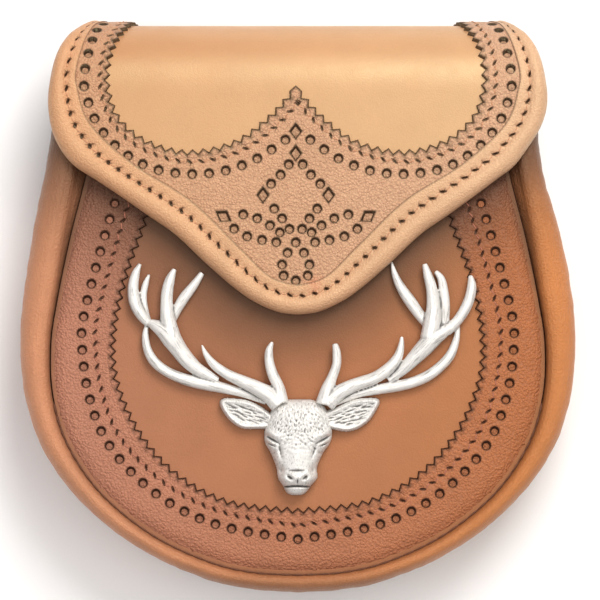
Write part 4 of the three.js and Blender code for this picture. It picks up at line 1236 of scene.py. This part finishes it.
class SPORRAN_OT_badge(bpy.types.Operator):
    """Model the cast stag's head as one piece"""

    bl_idname = "sporran.badge"
    bl_label = "Badge"

    VOXEL = 0.34  # millimetres, for the antlers
    STEP = 0.2  # millimetres, for the head and ears

    def execute(self, context):
        branches = LEFT_ANTLER + RIGHT_ANTLER
        antlers = self.joined([self.branch(rows, lift) for lift, rows in branches])
        apply_modifier(antlers, "REMESH", mode="VOXEL", voxel_size=self.VOXEL * MM, adaptivity=0)
        apply_modifier(antlers, "SMOOTH", factor=0.5, iterations=3)
        # The side that lies on the leather is flat.
        for vertex in antlers.data.vertices:
            vertex.co.z = max(vertex.co.z, BADGE_BACK * MM)
        parts = [antlers, self.relief("head", (-14, 14), (-64, -27), self.head_height)]
        for outline in EARS:
            loop = Path(outline + outline[:1]).points
            low, high = loop.min(0) - 1, loop.max(0) + 1
            parts.append(self.relief("ear", (low[0], high[0]), (low[1], high[1]),
                                     self.ear_height(loop)))
        badge = self.joined(parts)
        self.mark_recesses(badge)
        self.mark_strands(badge)
        activate(badge)
        bpy.ops.object.shade_smooth()
        finish_piece(badge, "stag_badge_cast", pewter_material(), "pewter", "stag_badge")
        return {"FINISHED"}

    def joined(self, parts):
        activate(parts[0])
        for part in parts:
            part.select_set(True)
        bpy.ops.object.join()
        return bpy.context.object

    def mark_strands(self, badge):
        """Marks where each point lies along and across its branch, for the cast streaks."""
        spots = []
        for number, (_, rows) in enumerate(LEFT_ANTLER + RIGHT_ANTLER):
            path = Path([row[:2] for row in rows])
            distance = path.even(0.5)
            for (x, y), (tx, ty), d in zip(path.at(distance), path.along(distance), distance):
                spots.append((x, y, tx, ty, d, number))
        spots = np.array(spots)
        tree = near_tree(spots[:, :2])
        points = read(badge.data) / MM - [0, ROW_Y, BADGE_BACK]
        nearest = spots[[tree.find((x, y, 0))[1] for x, y, _ in points]]
        offset = points[:, :2] - nearest[:, :2]
        across = offset[:, 1] * nearest[:, 2] - offset[:, 0] * nearest[:, 3]
        strand = np.stack([nearest[:, 4] * 0.16, across * 1.5, nearest[:, 5] * 3.7], -1)
        head = (points[:, 1] < -29.5) & (np.abs(points[:, 0]) < 28)
        strand[head] = points[head] * [2.6, 1.0, 0.4]
        mark(badge.data, "strand", strand, "FLOAT_VECTOR", "vector")

    def branch(self, rows, lift):
        """A tapering branch: a thick curve turned into a mesh."""
        curve = bpy.data.curves.new("branch", "CURVE")
        curve.dimensions = "3D"
        curve.bevel_depth = 1 * MM
        curve.bevel_resolution = 3
        curve.use_fill_caps = True
        path = Path(rows)
        samples = path.points[::6]
        spline = curve.splines.new("POLY")
        spline.points.add(len(samples) - 1)
        for point, (x, y, radius) in zip(spline.points, samples):
            z = BADGE_BACK + 0.6 * radius + lift
            point.co = (x * MM, (y + ROW_Y) * MM, z * MM, 1)
            point.radius = 1.1 * radius + 0.08
        piece = bpy.data.objects.new("branch", curve)
        bpy.context.collection.objects.link(piece)
        activate(piece)
        bpy.ops.object.convert(target="MESH")
        return bpy.context.object

    def relief(self, name, span_x, span_y, height):
        """A block whose top is pressed to a relief, cut off at the badge's back."""
        (left, right), (bottom, top) = span_x, span_y

        def place(across, along):
            x = left + (right - left) * across
            y = bottom + (top - bottom) * along
            on_rim = (across < 1e-6) | (across > 1 - 1e-6) | (along < 1e-6) | (along > 1 - 1e-6)
            rise = np.where(on_rim, -1.0, height(x, y))
            return np.stack([x, y + ROW_Y, BADGE_BACK + rise], -1)

        piece = shaped_grid(name, round((right - left) / self.STEP),
                            round((top - bottom) / self.STEP), place)
        activate(piece)
        bpy.ops.object.mode_set(mode="EDIT")
        bpy.ops.mesh.select_all(action="DESELECT")
        bpy.ops.mesh.select_mode(type="EDGE")
        bpy.ops.mesh.select_non_manifold()
        bpy.ops.mesh.extrude_edges_move(TRANSFORM_OT_translate={"value": (0, 0, -1 * MM)})
        bpy.ops.mesh.edge_face_add()
        bpy.ops.mesh.select_all(action="SELECT")
        bpy.ops.mesh.normals_make_consistent(inside=False)
        bpy.ops.mesh.bisect(plane_co=(0, 0, BADGE_BACK * MM), plane_no=(0, 0, 1),
                            use_fill=True, clear_inner=True)
        bpy.ops.object.mode_set(mode="OBJECT")
        return piece

    def head_height(self, x, y):
        rows = Path(HEAD).points[::-1]
        middle, half, rise = (np.interp(y, rows[:, 0], rows[:, k]) for k in (1, 2, 3))
        across = (x - middle) / half
        body = rise * np.clip(1 - np.abs(across) ** 3, 0, 1) ** 0.45
        x = x - middle

        def mound(cx, cy, wide, tall, turn=0.0):
            """A soft mound on both sides of the middle."""
            total = 0
            for side in ((1, -1) if cx else (1,)):
                dx, dy = side * x - cx, y - cy
                c, s = math.cos(turn), math.sin(turn)
                a, b = c * dx + s * dy, -s * dx + c * dy
                total = total + np.exp(-(a / wide) ** 2 - (b / tall) ** 2)
            return total

        for size, *shape in FEATURES:
            body = body + size * mound(*shape)
        slit = np.exp(-((y + 58.2 + 0.02 * x ** 2) / 0.33) ** 2) * (np.abs(x) < 4.6)
        body = body - 2.4 * slit  # mouth
        lean = 0.35 * (y + 34) * np.sign(x) * np.clip(np.abs(x) / 6, 0, 1)
        fur = np.array([noise.noise(Vector((a / 0.4, b / 0.95, 5.0)))
                        + 0.4 * noise.noise(Vector((a / 0.8, b / 0.9, 1.0)))
                        for a, b in zip(x + lean, y)])
        hair = 0.25 + 0.75 * np.clip((y + 48) / 4, 0, 1)
        hair = hair * np.clip((y + 53) / 3, 0, 1) * (1 - 0.6 * mound(0, -49.0, 3.2, 4.0))
        hair = hair * (1 - 0.95 * np.clip(1.3 * mound(8.8, -42.6, 3.4, 2.2, 0.4), 0, 1))
        body = body + 0.4 * fur * hair * np.clip((1 - np.abs(across)) / 0.1, 0.2, 1)
        outside = (np.abs(across) > 1) | (y > rows[-1, 0]) | (y < rows[0, 0])
        return np.where(outside, -1.0, np.maximum(body, 0.6))

    def ear_height(self, loop):
        tip = loop[np.abs(loop[:, 0]).argmax()]
        root = loop[np.abs(loop[:, 0]).argmin()]
        axis = (tip - root) / np.linalg.norm(tip - root)

        def height(x, y):
            near = distances_to(loop, np.stack([x, y], -1))
            shape = 3.1 * np.clip(near / 0.9, 0, 1) ** 0.5
            bowl = np.clip((near - 1.2) / 1.6, 0, 1)
            along = (x - root[0]) * axis[0] + (y - root[1]) * axis[1]
            across = -(x - root[0]) * axis[1] + (y - root[1]) * axis[0]
            strand = np.array([noise.noise(Vector((a / 2.2, b / 0.42, 1.7)))
                               for a, b in zip(along, across)])
            rise = shape - bowl * (1.0 - 0.75 * strand)
            return np.where(inside(np.stack([x, y], -1), loop[:-1]), np.maximum(rise, 0.5), -1.0)

        return height

    def mark_recesses(self, piece):
        """Marks the points that lie lower than their surroundings, where patina stays."""
        mesh = piece.data
        points, normals = read(mesh) / MM, read(mesh, "normal")
        edges = np.empty(2 * len(mesh.edges), int)
        mesh.edges.foreach_get("vertices", edges)
        edges = edges.reshape(-1, 2)
        degree = np.maximum(np.bincount(edges.ravel(), minlength=len(points)), 1)[:, None]

        def spread(values):
            total = np.zeros_like(values)
            np.add.at(total, edges[:, 0], values[edges[:, 1]])
            np.add.at(total, edges[:, 1], values[edges[:, 0]])
            return total / degree

        around = points
        for _ in range(5):
            around = spread(around)
        hollow = ((around - points) * normals).sum(1, keepdims=True)
        hollow = 0.5 * hollow + 0.5 * spread(hollow)
        recess = np.clip((hollow[:, 0] - 0.02) / 0.09, 0, 1)
        foot = np.clip(1.1 - (points[:, 2] - BADGE_BACK) / 0.6, 0, 1)
        mark(mesh, "recess", np.maximum(recess, 0.8 * foot))


class SPORRAN_OT_stage(bpy.types.Operator):
    """Set the floor, the lights and the camera"""

    bl_idname = "sporran.stage"
    bl_label = "Stage"

    def execute(self, context):
        scene = context.scene
        stage = scene.sporran_stage
        deselect_all()
        bpy.ops.mesh.primitive_plane_add(size=4, location=(0, 0, 0))
        floor = context.object
        floor.name = "floor"
        n = Nodes("floor")
        tone = n.blend(n.noise(3, 2), (0.93, 0.93, 0.93), (0.95, 0.95, 0.95))
        floor.data.materials.append(n.surface(tone, 0.9))
        world = bpy.data.worlds.new("studio")
        world.use_nodes = True
        background = world.node_tree.nodes["Background"]
        background.inputs["Color"].default_value = (1, 1, 1, 1)
        background.inputs["Strength"].default_value = stage.ambient
        scene.world = world
        self.area("key", (0.3, 0.74, 0.98), 0.55, stage.key, (1.0, 0.98, 0.95))
        self.area("left", (-0.5, -0.1, 1.1), 0.8, stage.side, (1.0, 0.95, 0.95))
        self.area("right", (0.5, 0.0, 1.1), 0.8, stage.side, (1.0, 0.97, 0.9))
        self.area("ceiling", (0.0, 0.0, 2.3), 1.6, stage.ceiling, (1.0, 1.0, 1.0))
        distance = stage.view_width * stage.lens / SENSOR
        level = highest("flap_binding").z * 0.9 * MM
        centre = Vector((0.0007, (3.1 + ROW_Y) * MM, level))
        bpy.ops.object.camera_add(location=centre + Vector((0, 0, distance)), rotation=(0, 0, 0))
        camera = context.object
        camera.name = "camera"
        camera.data.lens = stage.lens
        camera.data.sensor_width = SENSOR
        camera.data.clip_start = 0.05
        camera.data.dof.use_dof = False
        scene.camera = camera
        scene.view_settings.view_transform = "Standard"
        return {"FINISHED"}

    def area(self, name, where, size, power, colour):
        bpy.ops.object.light_add(type="AREA", location=where)
        light = bpy.context.object
        light.name = name
        light.data.shape = "SQUARE"
        light.data.size = size
        light.data.energy = power
        light.data.color = colour
        aim = Vector((0, 0, 0.03)) - Vector(where)
        light.rotation_euler = aim.to_track_quat("-Z", "Y").to_euler()


class SPORRAN_OT_threads(bpy.types.Operator):
    """Make the thread materials that the pieces are sewn with"""

    bl_idname = "sporran.threads"
    bl_label = "Threads"

    def execute(self, context):
        colour = tuple(context.scene.sporran_leather.thread)
        thread_material("thread", colour)
        thread_material("front_thread", tuple(context.scene.sporran_leather.front_thread))
        thread_material("seam_thread", (0.13, 0.042, 0.017))
        return {"FINISHED"}


class SPORRAN_PT_panel(bpy.types.Panel):
    """Lists the pouch's pieces"""

    bl_idname = "SPORRAN_PT_panel"
    bl_label = "Sporran"
    bl_space_type = "VIEW_3D"
    bl_region_type = "UI"
    bl_category = "Sporran"

    def draw(self, context):
        scene = context.scene
        for settings in (scene.sporran_leather, scene.sporran_punch, scene.sporran_stage):
            box = self.layout.box()
            for key in settings.__annotations__:
                box.prop(settings, key)
        for operator in OPERATORS:
            self.layout.operator(operator.bl_idname)


OPERATORS = (
    SPORRAN_OT_stage,
    SPORRAN_OT_threads,
    SPORRAN_OT_front,
    SPORRAN_OT_flap,
    SPORRAN_OT_gusset,
    SPORRAN_OT_back,
    SPORRAN_OT_badge,
)
SETTINGS = (LeatherSettings, PunchSettings, StageSettings)


def register():
    for cls in (*SETTINGS, *OPERATORS, SPORRAN_PT_panel):
        bpy.utils.register_class(cls)
    bpy.types.Scene.sporran_leather = PointerProperty(type=LeatherSettings)
    bpy.types.Scene.sporran_punch = PointerProperty(type=PunchSettings)
    bpy.types.Scene.sporran_stage = PointerProperty(type=StageSettings)


def unregister():
    del bpy.types.Scene.sporran_leather
    del bpy.types.Scene.sporran_punch
    del bpy.types.Scene.sporran_stage
    for cls in (SPORRAN_PT_panel, *reversed(OPERATORS), *reversed(SETTINGS)):
        bpy.utils.unregister_class(cls)


def main():
    register()
    for operator in OPERATORS:
        getattr(bpy.ops.sporran, operator.bl_idname.split(".")[1])()


if __name__ == "__main__":
    main()
